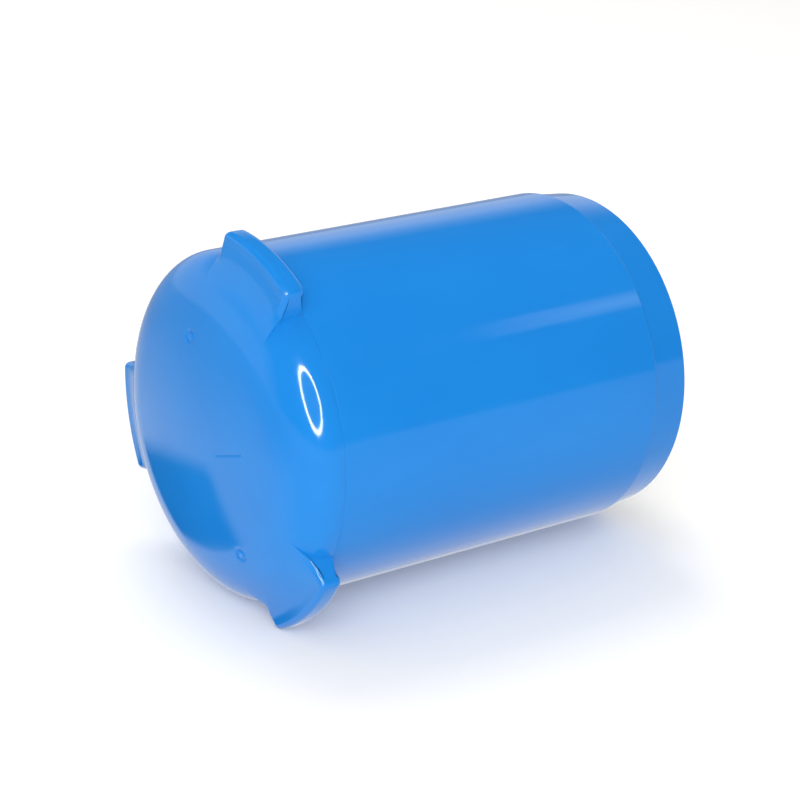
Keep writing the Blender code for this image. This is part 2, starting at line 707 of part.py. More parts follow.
def main():
    """Build the housing."""
    clear_scene()
    axis = empty_at("housing_axis")
    make_cup(axis)
    make_cushion(axis)
    make_base_ring(axis)
    base_pivot = empty_at("base_pivot", axis)
    make_base(base_pivot)
    make_grille(base_pivot)
    make_spigot(base_pivot)
    make_nut(base_pivot)
    cartridge_pivot = empty_at("cartridge_pivot", base_pivot)
    make_cartridge(cartridge_pivot)
    stand_on_floor(axis)


main()
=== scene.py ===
"""Looks of a cartridge filter housing: a blue moulded cup with three grip lugs, screwed over a pale base.

Every turned piece is drawn about the local Z axis, as points of (radius, station). Station 0 is the cup's
parting line and stations grow towards its mouth. Housing.place() then lays local Z along world X.
Lengths are in metres, angles in radians.
"""

from __future__ import annotations

import logging
from collections.abc import Callable, Iterable, Mapping, Sequence
from dataclasses import dataclass, field
from enum import Enum
from math import acos, asin, atan2, cos, exp, hypot, pi, radians, sin, tan, tau
from typing import Any

import bmesh
import bpy
from bmesh.types import BMEdge, BMesh, BMFace, BMVert
from mathutils import Matrix, Vector


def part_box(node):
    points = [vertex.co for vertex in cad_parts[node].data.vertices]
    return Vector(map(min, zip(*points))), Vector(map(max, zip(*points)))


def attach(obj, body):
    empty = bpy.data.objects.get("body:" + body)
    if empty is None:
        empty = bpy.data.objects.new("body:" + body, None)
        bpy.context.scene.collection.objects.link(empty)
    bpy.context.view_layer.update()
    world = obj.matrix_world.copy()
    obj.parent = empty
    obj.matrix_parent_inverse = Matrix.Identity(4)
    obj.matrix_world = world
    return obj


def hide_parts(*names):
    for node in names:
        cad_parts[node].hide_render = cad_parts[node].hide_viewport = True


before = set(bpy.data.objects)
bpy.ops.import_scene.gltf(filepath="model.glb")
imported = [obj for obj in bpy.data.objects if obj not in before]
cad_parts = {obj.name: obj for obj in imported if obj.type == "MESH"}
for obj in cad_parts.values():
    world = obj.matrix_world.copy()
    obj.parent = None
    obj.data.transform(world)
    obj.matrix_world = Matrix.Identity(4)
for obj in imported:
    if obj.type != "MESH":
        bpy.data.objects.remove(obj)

LOG = logging.getLogger("filter_housing")
# Points closer than this are one point.
MERGE = 1e-6
# Air left between two pieces that fit together.
GAP = 0.0003
# Edges that turn by more than this stay crisp when a piece is shaded.
CRISP = radians(48)

Point = tuple[float, float]
Corner = tuple[float, float, float]


class Body(Enum):
    """The bodies that move against each other."""

    CUP = "cup"
    SEAL = "seal"
    BASE = "base"
    CARTRIDGE = "cartridge"


class Slot(Enum):
    """The record's material slots."""

    CUP_PLASTIC = "cup_plastic"
    PALE_PLASTIC = "pale_plastic"
    GREY_PLASTIC = "grey_plastic"
    SEAL_RUBBER = "seal_rubber"
    CAP_RUBBER = "cap_rubber"
    FILTER_MEDIA = "filter_media"
    STEEL = "stainless_steel"


class Cut(Enum):
    """How one solid changes another."""

    REMOVE = "DIFFERENCE"
    KEEP = "INTERSECT"


class Kind(Enum):
    """The kinds of shader node in use."""

    COORDINATES = "ShaderNodeTexCoord"
    STRETCH = "ShaderNodeMapping"
    NOISE = "ShaderNodeTexNoise"
    CELLS = "ShaderNodeTexVoronoi"
    SHAPE = "ShaderNodeNewGeometry"
    RAMP = "ShaderNodeValToRGB"
    RANGE = "ShaderNodeMapRange"
    MIX = "ShaderNodeMix"
    MATHS = "ShaderNodeMath"
    AXES = "ShaderNodeSeparateXYZ"
    BUMP = "ShaderNodeBump"
    RAY = "ShaderNodeLightPath"
    GLOW = "ShaderNodeBackground"
    CHOICE = "ShaderNodeMixShader"


# ---------------------------------------------------------------------------------------------------------
# Small tools
# ---------------------------------------------------------------------------------------------------------


def smooth(share: float) -> float:
    """Ease a share between 0 and 1, level at both ends."""
    share = min(1.0, max(0.0, share))
    return share * share * (3 - 2 * share)


def turn_between(angle: float, other: float) -> float:
    """The turn from one angle to another, between minus and plus half a turn."""
    return (angle - other + pi) % tau - pi


def rounded(corners: Sequence[Corner], steps: int = 4, closed: bool = True) -> list[Point]:
    """Draw an outline whose corners are arcs.

    Args:
        corners: Radius, station and rounding of each corner, in order.
        steps: Straight steps in each arc.
        closed: Whether the last corner joins the first.

    Returns:
        The outline's points.
    """
    points: list[Point] = []
    for index, (radius, station, rounding) in enumerate(corners):
        at_end = not closed and index in (0, len(corners) - 1)
        if at_end or rounding <= 0:
            points.append((radius, station))
            continue
        here = Vector((radius, station))
        back = Vector(corners[index - 1][:2]) - here
        ahead = Vector(corners[(index + 1) % len(corners)][:2]) - here
        half = acos(max(-1.0, min(1.0, back.normalized().dot(ahead.normalized())))) / 2
        reach = min(rounding / tan(half), 0.48 * back.length, 0.48 * ahead.length)
        rounding = reach * tan(half)
        middle = here + (back.normalized() + ahead.normalized()).normalized() * rounding / sin(half)
        start = here + back.normalized() * reach - middle
        end = here + ahead.normalized() * reach - middle
        for step in range(steps + 1):
            spot = middle + start.slerp(end, step / steps).normalized() * rounding
            points.append((spot.x, spot.y))
    return points


def tube(inner: float, outer: float, low: float, high: float, edge: float) -> list[Corner]:
    """Corners of a plain tube's section, with all its edges rounded."""
    return [(inner, low, edge), (inner, high, edge), (outer, high, edge), (outer, low, edge)]


def spun(profile: Sequence[Point], columns: int, closed: bool = True) -> BMesh:
    """Turn a profile about the local Z axis.

    Args:
        profile: Points of (radius, station).
        columns: Steps in the full turn.
        closed: Whether the last point joins the first.

    Returns:
        A closed shell with its faces pointing out.
    """
    bm = bmesh.new()
    verts = [bm.verts.new((radius, 0.0, station)) for radius, station in profile]
    pairs = list(zip(verts, verts[1:]))
    if closed:
        pairs.append((verts[-1], verts[0]))
    edges = [bm.edges.new(pair) for pair in pairs]
    bmesh.ops.spin(
        bm,
        geom=verts + edges,
        cent=(0, 0, 0),
        axis=(0, 0, 1),
        angle=tau,
        steps=columns,
        use_merge=True,
    )
    bmesh.ops.remove_doubles(bm, verts=bm.verts, dist=MERGE)
    bmesh.ops.recalc_face_normals(bm, faces=bm.faces)
    return bm


def post(bm: BMesh, radius: float, low: float, high: float, pitch_radius: float, angle: float) -> None:
    """Add a round post that stands parallel to the axis.

    Args:
        bm: The mesh to add it to.
        radius: The post's radius.
        low: Station of its lower end.
        high: Station of its upper end.
        pitch_radius: How far it stands from the axis.
        angle: Local angle at which it stands.
    """
    centre = Vector((pitch_radius * cos(angle), pitch_radius * sin(angle), (low + high) / 2))
    bmesh.ops.create_cone(
        bm,
        cap_ends=True,
        segments=32,
        radius1=radius,
        radius2=radius,
        depth=high - low,
        matrix=Matrix.Translation(centre),
    )


def slot_cutter(
    bm: BMesh, inner: float, outer: float, width: float, low: float, high: float, angle: float
) -> None:
    """Add a slot with round ends that points at the axis, as a solid to cut with.

    Args:
        bm: The mesh to add it to.
        inner: Radius of the slot's inner end.
        outer: Radius of its outer end.
        width: Its width.
        low: Station of its lower end.
        high: Station of its upper end.
        angle: Local angle at which it points.
    """
    made = bmesh.ops.create_circle(bm, cap_ends=True, segments=24, radius=width / 2)["verts"]
    middle = (inner + outer) / 2
    stretch = (outer - inner - width) / 2
    for vert in made:
        vert.co.x += stretch if vert.co.x > MERGE else -stretch if vert.co.x < -MERGE else 0.0
    bmesh.ops.translate(bm, verts=made, vec=(middle, 0, low))
    bmesh.ops.rotate(bm, verts=made, cent=(0, 0, 0), matrix=Matrix.Rotation(angle, 3, "Z"))
    floor = next(iter(made[0].link_faces))
    grown = bmesh.ops.extrude_face_region(bm, geom=[floor])["geom"]
    top = [item for item in grown if isinstance(item, BMVert)]
    bmesh.ops.translate(bm, verts=top, vec=(0, 0, high - low))


def wrapped(bm: BMesh, name: str) -> bpy.types.Object:
    """Wrap a bmesh in an object, and free the bmesh.

    Args:
        bm: The mesh, freed here.
        name: The object's name.

    Returns:
        The object.
    """
    mesh = bpy.data.meshes.new(name)
    bm.to_mesh(mesh)
    bm.free()
    made = bpy.data.objects.new(name, mesh)
    bpy.context.collection.objects.link(made)
    return made


def carved(bm: BMesh, tool: BMesh, cut: Cut) -> BMesh:
    """Change one solid with another, exactly.

    Args:
        bm: The solid to change.
        tool: The solid that changes it.
        cut: Whether the tool is removed, or what both share is kept.

    Returns:
        The changed solid.
    """
    bmesh.ops.recalc_face_normals(tool, faces=tool.faces)
    body = wrapped(bm, "scratch_body")
    other = wrapped(tool, "scratch_tool")
    change = body.modifiers.new("cut", "BOOLEAN")
    change.operation = cut.value
    change.solver = "EXACT"
    change.object = other
    result = bmesh.new()
    result.from_object(body, bpy.context.evaluated_depsgraph_get())
    for scratch in (body, other):
        mesh = scratch.data
        bpy.data.objects.remove(scratch, do_unlink=True)
        bpy.data.meshes.remove(mesh)
    bmesh.ops.remove_doubles(result, verts=result.verts, dist=MERGE)
    return result


def soften(bm: BMesh, width: float, sharper_than: float = radians(50)) -> None:
    """Round every edge that is sharper than an angle."""
    sharp = [e for e in bm.edges if len(e.link_faces) == 2 and e.calc_face_angle() > sharper_than]
    bmesh.ops.bevel(bm, geom=sharp, offset=width, affect="EDGES", segments=2, profile=0.5, material=-1)


# ---------------------------------------------------------------------------------------------------------
# Materials
# ---------------------------------------------------------------------------------------------------------


def hex_colour(code: str) -> tuple[float, float, float, float]:
    """Turn an sRGB hex code into linear colour.

    Args:
        code: A hash and six hexadecimal digits.

    Returns:
        Red, green, blue and a full alpha.
    """
    values = [int(code[place : place + 2], 16) / 255 for place in (1, 3, 5)]
    linear = [v / 12.92 if v <= 0.04045 else ((v + 0.055) / 1.055) ** 2.4 for v in values]
    return (linear[0], linear[1], linear[2], 1.0)


def per_metre(size_mm: float) -> float:
    """Texture scale that gives a pattern of a real size."""
    return 1000.0 / size_mm


def add_node(
    tree: bpy.types.NodeTree,
    kind: Kind,
    inputs: Mapping[str | int, Any] | None = None,
    stops: Sequence[tuple[float, str | float]] = (),
    output: str | int = 0,
    **settings: Any,
) -> bpy.types.NodeSocket:
    """Add one node with its settings, values and links.

    Args:
        tree: The node tree.
        kind: The kind of node.
        inputs: A value, or the socket that feeds it, for each named or numbered input.
        stops: A colour ramp's stops, as hex colours or as grey levels.
        output: Name or number of the output that is wanted.
        settings: The node's own properties.

    Returns:
        The wanted output.
    """
    made = tree.nodes.new(kind.value)
    for name, value in settings.items():
        setattr(made, name, value)
    for key, value in (inputs or {}).items():
        if isinstance(value, bpy.types.NodeSocket):
            tree.links.new(value, made.inputs[key])
        else:
            made.inputs[key].default_value = value
    for index, (place, tone) in enumerate(stops):
        ramp = made.color_ramp.elements
        stop = ramp[index] if index < 2 else ramp.new(place)
        stop.position = place
        stop.color = hex_colour(tone) if isinstance(tone, str) else (tone, tone, tone, 1.0)
    return made.outputs[output]


@dataclass(frozen=True)
class Finish:
    """One finish. A subclass says what its surface is made of and how it was made."""

    name: str
    colour: str
    shade: str
    roughness: float
    ior: float = 1.5

    def material(self) -> bpy.types.Material:
        """Make this finish's material once, and find it again after that.

        Returns:
            The material.
        """
        found = bpy.data.materials.get(self.name)
        if found:
            return found
        made = bpy.data.materials.new(self.name)
        made.use_nodes = True
        tree = made.node_tree
        shader = tree.nodes["Principled BSDF"]
        for name, value in self.surface(tree, add_node(tree, Kind.COORDINATES, output="Object")).items():
            if isinstance(value, bpy.types.NodeSocket):
                tree.links.new(value, shader.inputs[name])
            else:
                shader.inputs[name].default_value = value
        return made

    def surface(self, tree: bpy.types.NodeTree, place: bpy.types.NodeSocket) -> dict[str, Any]:
        """Build the finish's patterns.

        Args:
            tree: The node tree.
            place: The object's own coordinates, in metres.

        Returns:
            A socket or a plain value for each of the shader's inputs that the finish sets.
        """
        raise NotImplementedError


@dataclass(frozen=True)
class PolishedAbs(Finish):
    """ABS dyed right through and moulded in a polished tool.

    It gives a deep even colour under a wet gloss, with a faint orange peel where the melt shrank, pale
    hairline scuffs from handling, and slightly paler proud edges.
    """

    scuff: str = "#5AA6EC"
    scuffed_roughness: float = 0.38
    drift_mm: float = 38.0
    scratch_mm: float = 0.9
    wear_mm: float = 24.0
    gloss_mm: float = 11.0
    sink_mm: float = 17.0
    peel_mm: float = 3.2

    def surface(self, tree: bpy.types.NodeTree, place: bpy.types.NodeSocket) -> dict[str, Any]:
        """Build the gloss plastic. Its scratches are drawn wider than real ones, so that they show.

        Args:
            tree: The node tree.
            place: The object's own coordinates, in metres.

        Returns:
            The shader's inputs.
        """
        flow = add_node(tree, Kind.STRETCH, {"Vector": place, "Scale": (0.5, 1.0, 1.0)})
        drift = add_node(tree, Kind.NOISE, {"Vector": flow, "Scale": per_metre(self.drift_mm), "Detail": 2.0})
        body = add_node(tree, Kind.RAMP, {"Fac": drift}, [(0.30, self.shade), (0.70, self.colour)])
        drawn = add_node(tree, Kind.STRETCH, {"Vector": place, "Scale": (0.06, 1.0, 1.0)})
        hair = add_node(
            tree, Kind.NOISE, {"Vector": drawn, "Scale": per_metre(self.scratch_mm), "Detail": 2.0}
        )
        scratches = add_node(tree, Kind.RAMP, {"Fac": hair}, [(0.70, 0.0), (0.76, 1.0)])
        wear = add_node(tree, Kind.NOISE, {"Vector": place, "Scale": per_metre(self.wear_mm), "Detail": 3.0})
        patches = add_node(tree, Kind.RAMP, {"Fac": wear}, [(0.52, 0.0), (0.70, 0.25)])
        worn = add_node(
            tree,
            Kind.MIX,
            {0: 1.0, 6: scratches, 7: patches},
            output=2,
            data_type="RGBA",
            blend_type="MULTIPLY",
        )
        proud = add_node(tree, Kind.SHAPE, output="Pointiness")
        rubbed = add_node(tree, Kind.RAMP, {"Fac": proud}, [(0.53, 0.0), (0.60, 0.35)])
        lift = add_node(
            tree, Kind.MIX, {0: 1.0, 6: worn, 7: rubbed}, output=2, data_type="RGBA", blend_type="ADD"
        )
        tint = add_node(
            tree, Kind.MIX, {0: lift, 6: body, 7: hex_colour(self.scuff)}, output=2, data_type="RGBA"
        )
        cloud = add_node(
            tree, Kind.NOISE, {"Vector": place, "Scale": per_metre(self.gloss_mm), "Detail": 4.0}
        )
        gloss = add_node(
            tree,
            Kind.RAMP,
            {"Fac": cloud},
            [(0.30, self.roughness * 0.85), (0.75, self.roughness * 1.35)],
        )
        rough = (self.scuffed_roughness,) * 3 + (1.0,)
        dulled = add_node(tree, Kind.MIX, {0: lift, 6: gloss, 7: rough}, output=2, data_type="RGBA")
        sink = add_node(tree, Kind.NOISE, {"Vector": place, "Scale": per_metre(self.sink_mm), "Detail": 1.0})
        peel = add_node(tree, Kind.NOISE, {"Vector": place, "Scale": per_metre(self.peel_mm), "Detail": 1.0})
        swell = add_node(tree, Kind.BUMP, {"Height": sink, "Strength": 0.5, "Distance": 0.000035})
        skin = add_node(
            tree, Kind.BUMP, {"Height": peel, "Strength": 0.4, "Distance": 0.000008, "Normal": swell}
        )
        normal = add_node(
            tree, Kind.BUMP, {"Height": scratches, "Strength": 0.15, "Distance": 0.000004, "Normal": skin}
        )
        return {"Base Color": tint, "Roughness": dulled, "Normal": normal, "IOR": self.ior}


@dataclass(frozen=True)
class TexturedAbs(Finish):
    """ABS moulded against a spark-eroded tool.

    It gives a satin surface with a fine even grain that scatters the highlights, and faint grey handling
    marks on the flats.
    """

    grime: str = "#8E9498"
    drift_mm: float = 30.0
    grime_mm: float = 9.0
    gloss_mm: float = 6.0
    swell_mm: float = 14.0
    grain_mm: float = 0.35

    def surface(self, tree: bpy.types.NodeTree, place: bpy.types.NodeSocket) -> dict[str, Any]:
        """Build the satin plastic.

        Args:
            tree: The node tree.
            place: The object's own coordinates, in metres.

        Returns:
            The shader's inputs.
        """
        drift = add_node(
            tree, Kind.NOISE, {"Vector": place, "Scale": per_metre(self.drift_mm), "Detail": 3.0}
        )
        body = add_node(tree, Kind.RAMP, {"Fac": drift}, [(0.32, self.shade), (0.68, self.colour)])
        hands = add_node(
            tree, Kind.NOISE, {"Vector": place, "Scale": per_metre(self.grime_mm), "Detail": 5.0}
        )
        marks = add_node(tree, Kind.RAMP, {"Fac": hands}, [(0.56, 0.0), (0.74, 0.30)])
        tint = add_node(
            tree, Kind.MIX, {0: marks, 6: body, 7: hex_colour(self.grime)}, output=2, data_type="RGBA"
        )
        cloud = add_node(
            tree, Kind.NOISE, {"Vector": place, "Scale": per_metre(self.gloss_mm), "Detail": 3.0}
        )
        gloss = add_node(
            tree,
            Kind.RAMP,
            {"Fac": cloud},
            [(0.30, self.roughness * 0.9), (0.75, self.roughness * 1.2)],
        )
        grain = add_node(
            tree, Kind.CELLS, {"Vector": place, "Scale": per_metre(self.grain_mm)}, feature="SMOOTH_F1"
        )
        rise = add_node(tree, Kind.NOISE, {"Vector": place, "Scale": per_metre(self.swell_mm), "Detail": 1.0})
        swell = add_node(tree, Kind.BUMP, {"Height": rise, "Strength": 0.5, "Distance": 0.00003})
        normal = add_node(
            tree, Kind.BUMP, {"Height": grain, "Strength": 0.35, "Distance": 0.000012, "Normal": swell}
        )
        return {"Base Color": tint, "Roughness": gloss, "Normal": normal, "IOR": self.ior}


@dataclass(frozen=True)
class MouldedPvc(Finish):
    """Rigid dark grey PVC, moulded and then handled.

    It gives a low gloss with cloudy flow marks, and dusty scuffs on whatever stands proud.
    """

    scuff: str = "#80868A"
    flow_mm: float = 12.0
    gloss_mm: float = 4.0
    grain_mm: float = 0.7

    def surface(self, tree: bpy.types.NodeTree, place: bpy.types.NodeSocket) -> dict[str, Any]:
        """Build the grey plastic.

        Args:
            tree: The node tree.
            place: The object's own coordinates, in metres.

        Returns:
            The shader's inputs.
        """
        drawn = add_node(tree, Kind.STRETCH, {"Vector": place, "Scale": (0.6, 1.0, 1.0)})
        flow = add_node(tree, Kind.NOISE, {"Vector": drawn, "Scale": per_metre(self.flow_mm), "Detail": 5.0})
        body = add_node(tree, Kind.RAMP, {"Fac": flow}, [(0.30, self.shade), (0.70, self.colour)])
        proud = add_node(tree, Kind.SHAPE, output="Pointiness")
        rubbed = add_node(tree, Kind.RAMP, {"Fac": proud}, [(0.52, 0.0), (0.60, 0.45)])
        tint = add_node(
            tree, Kind.MIX, {0: rubbed, 6: body, 7: hex_colour(self.scuff)}, output=2, data_type="RGBA"
        )
        cloud = add_node(
            tree, Kind.NOISE, {"Vector": place, "Scale": per_metre(self.gloss_mm), "Detail": 4.0}
        )
        gloss = add_node(
            tree,
            Kind.RAMP,
            {"Fac": cloud},
            [(0.30, self.roughness * 0.85), (0.72, self.roughness * 1.25)],
        )
        fine = add_node(tree, Kind.NOISE, {"Vector": place, "Scale": per_metre(self.grain_mm), "Detail": 3.0})
        swell = add_node(tree, Kind.BUMP, {"Height": flow, "Strength": 0.4, "Distance": 0.00003})
        normal = add_node(
            tree, Kind.BUMP, {"Height": fine, "Strength": 0.3, "Distance": 0.00001, "Normal": swell}
        )
        return {"Base Color": tint, "Roughness": gloss, "Normal": normal, "IOR": self.ior}


@dataclass(frozen=True)
class SealRubber(Finish):
    """EPDM rubber with a trace of silicone grease.

    It gives a near-black matt surface with a pale bloom in patches and a fine pebbled skin.
    """

    bloom: str = "#3A3B3D"
    bloom_mm: float = 7.0
    grease_mm: float = 5.0
    pebble_mm: float = 0.5

    def surface(self, tree: bpy.types.NodeTree, place: bpy.types.NodeSocket) -> dict[str, Any]:
        """Build the rubber.

        Args:
            tree: The node tree.
            place: The object's own coordinates, in metres.

        Returns:
            The shader's inputs.
        """
        cloud = add_node(
            tree, Kind.NOISE, {"Vector": place, "Scale": per_metre(self.bloom_mm), "Detail": 5.0}
        )
        body = add_node(
            tree, Kind.RAMP, {"Fac": cloud}, [(0.35, self.shade), (0.60, self.colour), (0.80, self.bloom)]
        )
        film = add_node(
            tree, Kind.NOISE, {"Vector": place, "Scale": per_metre(self.grease_mm), "Detail": 2.0}
        )
        greased = add_node(
            tree,
            Kind.RAMP,
            {"Fac": film},
            [(0.40, self.roughness * 0.6), (0.60, self.roughness * 1.15)],
        )
        pebble = add_node(
            tree, Kind.NOISE, {"Vector": place, "Scale": per_metre(self.pebble_mm), "Detail": 2.0}
        )
        normal = add_node(tree, Kind.BUMP, {"Height": pebble, "Strength": 0.5, "Distance": 0.000015})
        return {"Base Color": body, "Roughness": greased, "Normal": normal, "IOR": self.ior}


@dataclass(frozen=True)
class CastUrethane(Finish):
    """Polyurethane cast in an open mould round the ends of the pleats.

    It gives a soft, slightly waxy surface with pinhole bubbles and a gentle swell.
    """

    cloud_mm: float = 15.0
    swell_mm: float = 9.0
    bubble_mm: float = 1.6

    def surface(self, tree: bpy.types.NodeTree, place: bpy.types.NodeSocket) -> dict[str, Any]:
        """Build the cast rubber.

        Args:
            tree: The node tree.
            place: The object's own coordinates, in metres.

        Returns:
            The shader's inputs.
        """
        cloud = add_node(
            tree, Kind.NOISE, {"Vector": place, "Scale": per_metre(self.cloud_mm), "Detail": 4.0}
        )
        body = add_node(tree, Kind.RAMP, {"Fac": cloud}, [(0.30, self.shade), (0.70, self.colour)])
        cells = add_node(tree, Kind.CELLS, {"Vector": place, "Scale": per_metre(self.bubble_mm)})
        pits = add_node(tree, Kind.RAMP, {"Fac": cells}, [(0.05, 0.0), (0.14, 1.0)])
        # Painted shade: the pinhole pits take the darker shade colour, which stands in for shade inside the
        # bubbles.
        tint = add_node(
            tree, Kind.MIX, {0: pits, 6: hex_colour(self.shade), 7: body}, output=2, data_type="RGBA"
        )
        gloss = add_node(
            tree,
            Kind.RAMP,
            {"Fac": cloud},
            [(0.30, self.roughness * 0.85), (0.70, self.roughness * 1.15)],
        )
        rise = add_node(tree, Kind.NOISE, {"Vector": place, "Scale": per_metre(self.swell_mm), "Detail": 1.0})
        swell = add_node(tree, Kind.BUMP, {"Height": rise, "Strength": 0.5, "Distance": 0.00006})
        normal = add_node(
            tree, Kind.BUMP, {"Height": pits, "Strength": 0.6, "Distance": 0.00005, "Normal": swell}
        )
        return {"Base Color": tint, "Roughness": gloss, "Normal": normal, "IOR": self.ior}


@dataclass(frozen=True)
class SpunPolyester(Finish):
    """Spun-bonded polyester felt, point-bonded between heated rollers.

    It gives a dry white sheet of tangled fibres with a grid of small pressed dots, and a light grey dust
    where water has passed.
    """

    dust: str = "#B9BBB6"
    dust_mm: float = 22.0
    fibre_mm: float = 0.6
    bond_mm: float = 1.8
    sheen: float = 0.3

    def surface(self, tree: bpy.types.NodeTree, place: bpy.types.NodeSocket) -> dict[str, Any]:
        """Build the felt. Its fibres are drawn several times their real width, so that they show.

        Args:
            tree: The node tree.
            place: The object's own coordinates, in metres.

        Returns:
            The shader's inputs.
        """
        strands = []
        for stretch in ((0.25, 1.0, 1.0), (1.0, 1.0, 0.25)):
            drawn = add_node(tree, Kind.STRETCH, {"Vector": place, "Scale": stretch})
            values = {"Vector": drawn, "Scale": per_metre(self.fibre_mm), "Detail": 6.0}
            strands.append(add_node(tree, Kind.NOISE, values))
        tangle = add_node(
            tree, Kind.MIX, {0: 0.5, 6: strands[0], 7: strands[1]}, output=2, data_type="RGBA"
        )
        body = add_node(tree, Kind.RAMP, {"Fac": tangle}, [(0.35, self.shade), (0.60, self.colour)])
        flow = add_node(tree, Kind.NOISE, {"Vector": place, "Scale": per_metre(self.dust_mm), "Detail": 4.0})
        dirt = add_node(tree, Kind.RAMP, {"Fac": flow}, [(0.45, 0.0), (0.75, 0.5)])
        tint = add_node(
            tree, Kind.MIX, {0: dirt, 6: body, 7: hex_colour(self.dust)}, output=2, data_type="RGBA"
        )
        dots = add_node(
            tree, Kind.CELLS, {"Vector": place, "Scale": per_metre(self.bond_mm), "Randomness": 0.0}
        )
        pressed = add_node(tree, Kind.RAMP, {"Fac": dots}, [(0.16, 0.0), (0.26, 1.0)])
        bonded = add_node(tree, Kind.BUMP, {"Height": pressed, "Strength": 0.6, "Distance": 0.00006})
        normal = add_node(
            tree, Kind.BUMP, {"Height": tangle, "Strength": 0.7, "Distance": 0.00005, "Normal": bonded}
        )
        return {
            "Base Color": tint,
            "Roughness": self.roughness,
            "Sheen Weight": self.sheen,
            "Normal": normal,
            "IOR": self.ior,
        }


@dataclass(frozen=True)
class StainlessSteel(Finish):
    """Cold-headed stainless steel, tumbled bright.

    It gives a bright grey metal with small peening dents and cloudy tumbling marks. It keeps the default IOR.
    """

    cloud_mm: float = 1.2
    dent_mm: float = 0.4

    def surface(self, tree: bpy.types.NodeTree, place: bpy.types.NodeSocket) -> dict[str, Any]:
        """Build the metal.

        Args:
            tree: The node tree.
            place: The object's own coordinates, in metres.

        Returns:
            The shader's inputs.
        """
        cloud = add_node(
            tree, Kind.NOISE, {"Vector": place, "Scale": per_metre(self.cloud_mm), "Detail": 4.0}
        )
        body = add_node(tree, Kind.RAMP, {"Fac": cloud}, [(0.30, self.shade), (0.70, self.colour)])
        gloss = add_node(
            tree,
            Kind.RAMP,
            {"Fac": cloud},
            [(0.30, self.roughness * 0.7), (0.75, self.roughness * 1.5)],
        )
        dents = add_node(tree, Kind.NOISE, {"Vector": place, "Scale": per_metre(self.dent_mm), "Detail": 2.0})
        normal = add_node(tree, Kind.BUMP, {"Height": dents, "Strength": 0.4, "Distance": 0.000008})
        return {"Base Color": body, "Metallic": 1.0, "Roughness": gloss, "Normal": normal}


# The cup: deep pool blue, with the shade barely darker, so that only the light draws its form.
CUP_BLUE = PolishedAbs("polished_blue_abs", "#1A88DE", "#1683DA", 0.09, 1.53)
# The base, grille, washer and core: cool off-white that shows grey marks in its grain.
BASE_PALE = TexturedAbs("textured_pale_abs", "#D3D8DB", "#C8CED2", 0.42, 1.53)
# The spigot and nut: mid grey with paler rubbed corners.
STEM_GREY = MouldedPvc("moulded_grey_pvc", "#83898D", "#767C81", 0.40, 1.54)
# Every seal: near black, patchy between greasy and dry.
BLACK_SEAL = SealRubber("epdm_rubber", "#26272A", "#1C1D1F", 0.60, 1.52)
# The cartridge's caps: dusty blue and waxy.
CAP_BLUE = CastUrethane("cast_blue_urethane", "#4C80B9", "#3F72AC", 0.48, 1.49)
# The pleats and their bands: dry white.
MEDIA_WHITE = SpunPolyester("spun_white_polyester", "#E9EBE8", "#D3D6D4", 0.92, 1.45)
# The grille's screws: bright, slightly mottled.
SCREW_STEEL = StainlessSteel("tumbled_stainless_steel", "#CFCFC9", "#B9B9B4", 0.26)


# ---------------------------------------------------------------------------------------------------------
# The housing's frame of reference, and how a piece is handed over
# ---------------------------------------------------------------------------------------------------------


@dataclass(frozen=True)
class Housing:
    """Where the turned pieces stand: the axis of the whole housing."""

    mouth: float = 0.1500

    def place(self) -> Matrix:
        """Find the housing's axis from the carried CAD.

        Returns:
            The matrix from local turning coordinates to the world.
        """
        round_low, round_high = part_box("outlet_spigot")
        cup_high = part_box("housing_cup")[1]
        middle = (round_low + round_high) / 2
        origin = Vector((cup_high.x - self.mouth, middle.y, middle.z))
        return Matrix.Translation(origin) @ Matrix.Rotation(pi / 2, 4, "Y")

    def hand_over(
        self, bm: BMesh, name: str, finish: Finish, body: Body, slot: Slot, replaces: str
    ) -> bpy.types.Object:
        """Turn a bmesh into a finished piece that rides on its body.

        Args:
            bm: The piece in local coordinates, freed here.
            name: The piece's name.
            finish: Its finish.
            body: The body it rides on.
            slot: The record's material slot. It is not used.
            replaces: The CAD node it stands for.

        Returns:
            The piece.
        """
        bmesh.ops.recalc_face_normals(bm, faces=bm.faces)
        bmesh.ops.transform(bm, matrix=self.place(), verts=bm.verts)
        mesh = bpy.data.meshes.new(name)
        bm.to_mesh(mesh)
        bm.free()
        mesh.shade_smooth()
        mesh.set_sharp_from_angle(angle=CRISP)
        mesh.materials.append(finish.material())
        piece = bpy.data.objects.new(name, mesh)
        bpy.context.collection.objects.link(piece)
        flats = piece.modifiers.new("level_flats", "WEIGHTED_NORMAL")
        flats.keep_sharp = True
        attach(piece, body.value)
        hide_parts(replaces)
        LOG.info("%s: %d faces on %s", name, len(mesh.polygons), body.value)
        return piece

    def turn(
        self,
        name: str,
        corners: Sequence[Corner],
        finish: Finish,
        body: Body,
        slot: Slot,
        replaces: str,
        columns: int = 96,
    ) -> bpy.types.Object:
        """Turn a plain round piece from its rounded corners."""
        return self.hand_over(spun(rounded(corners), columns), name, finish, body, slot, replaces)


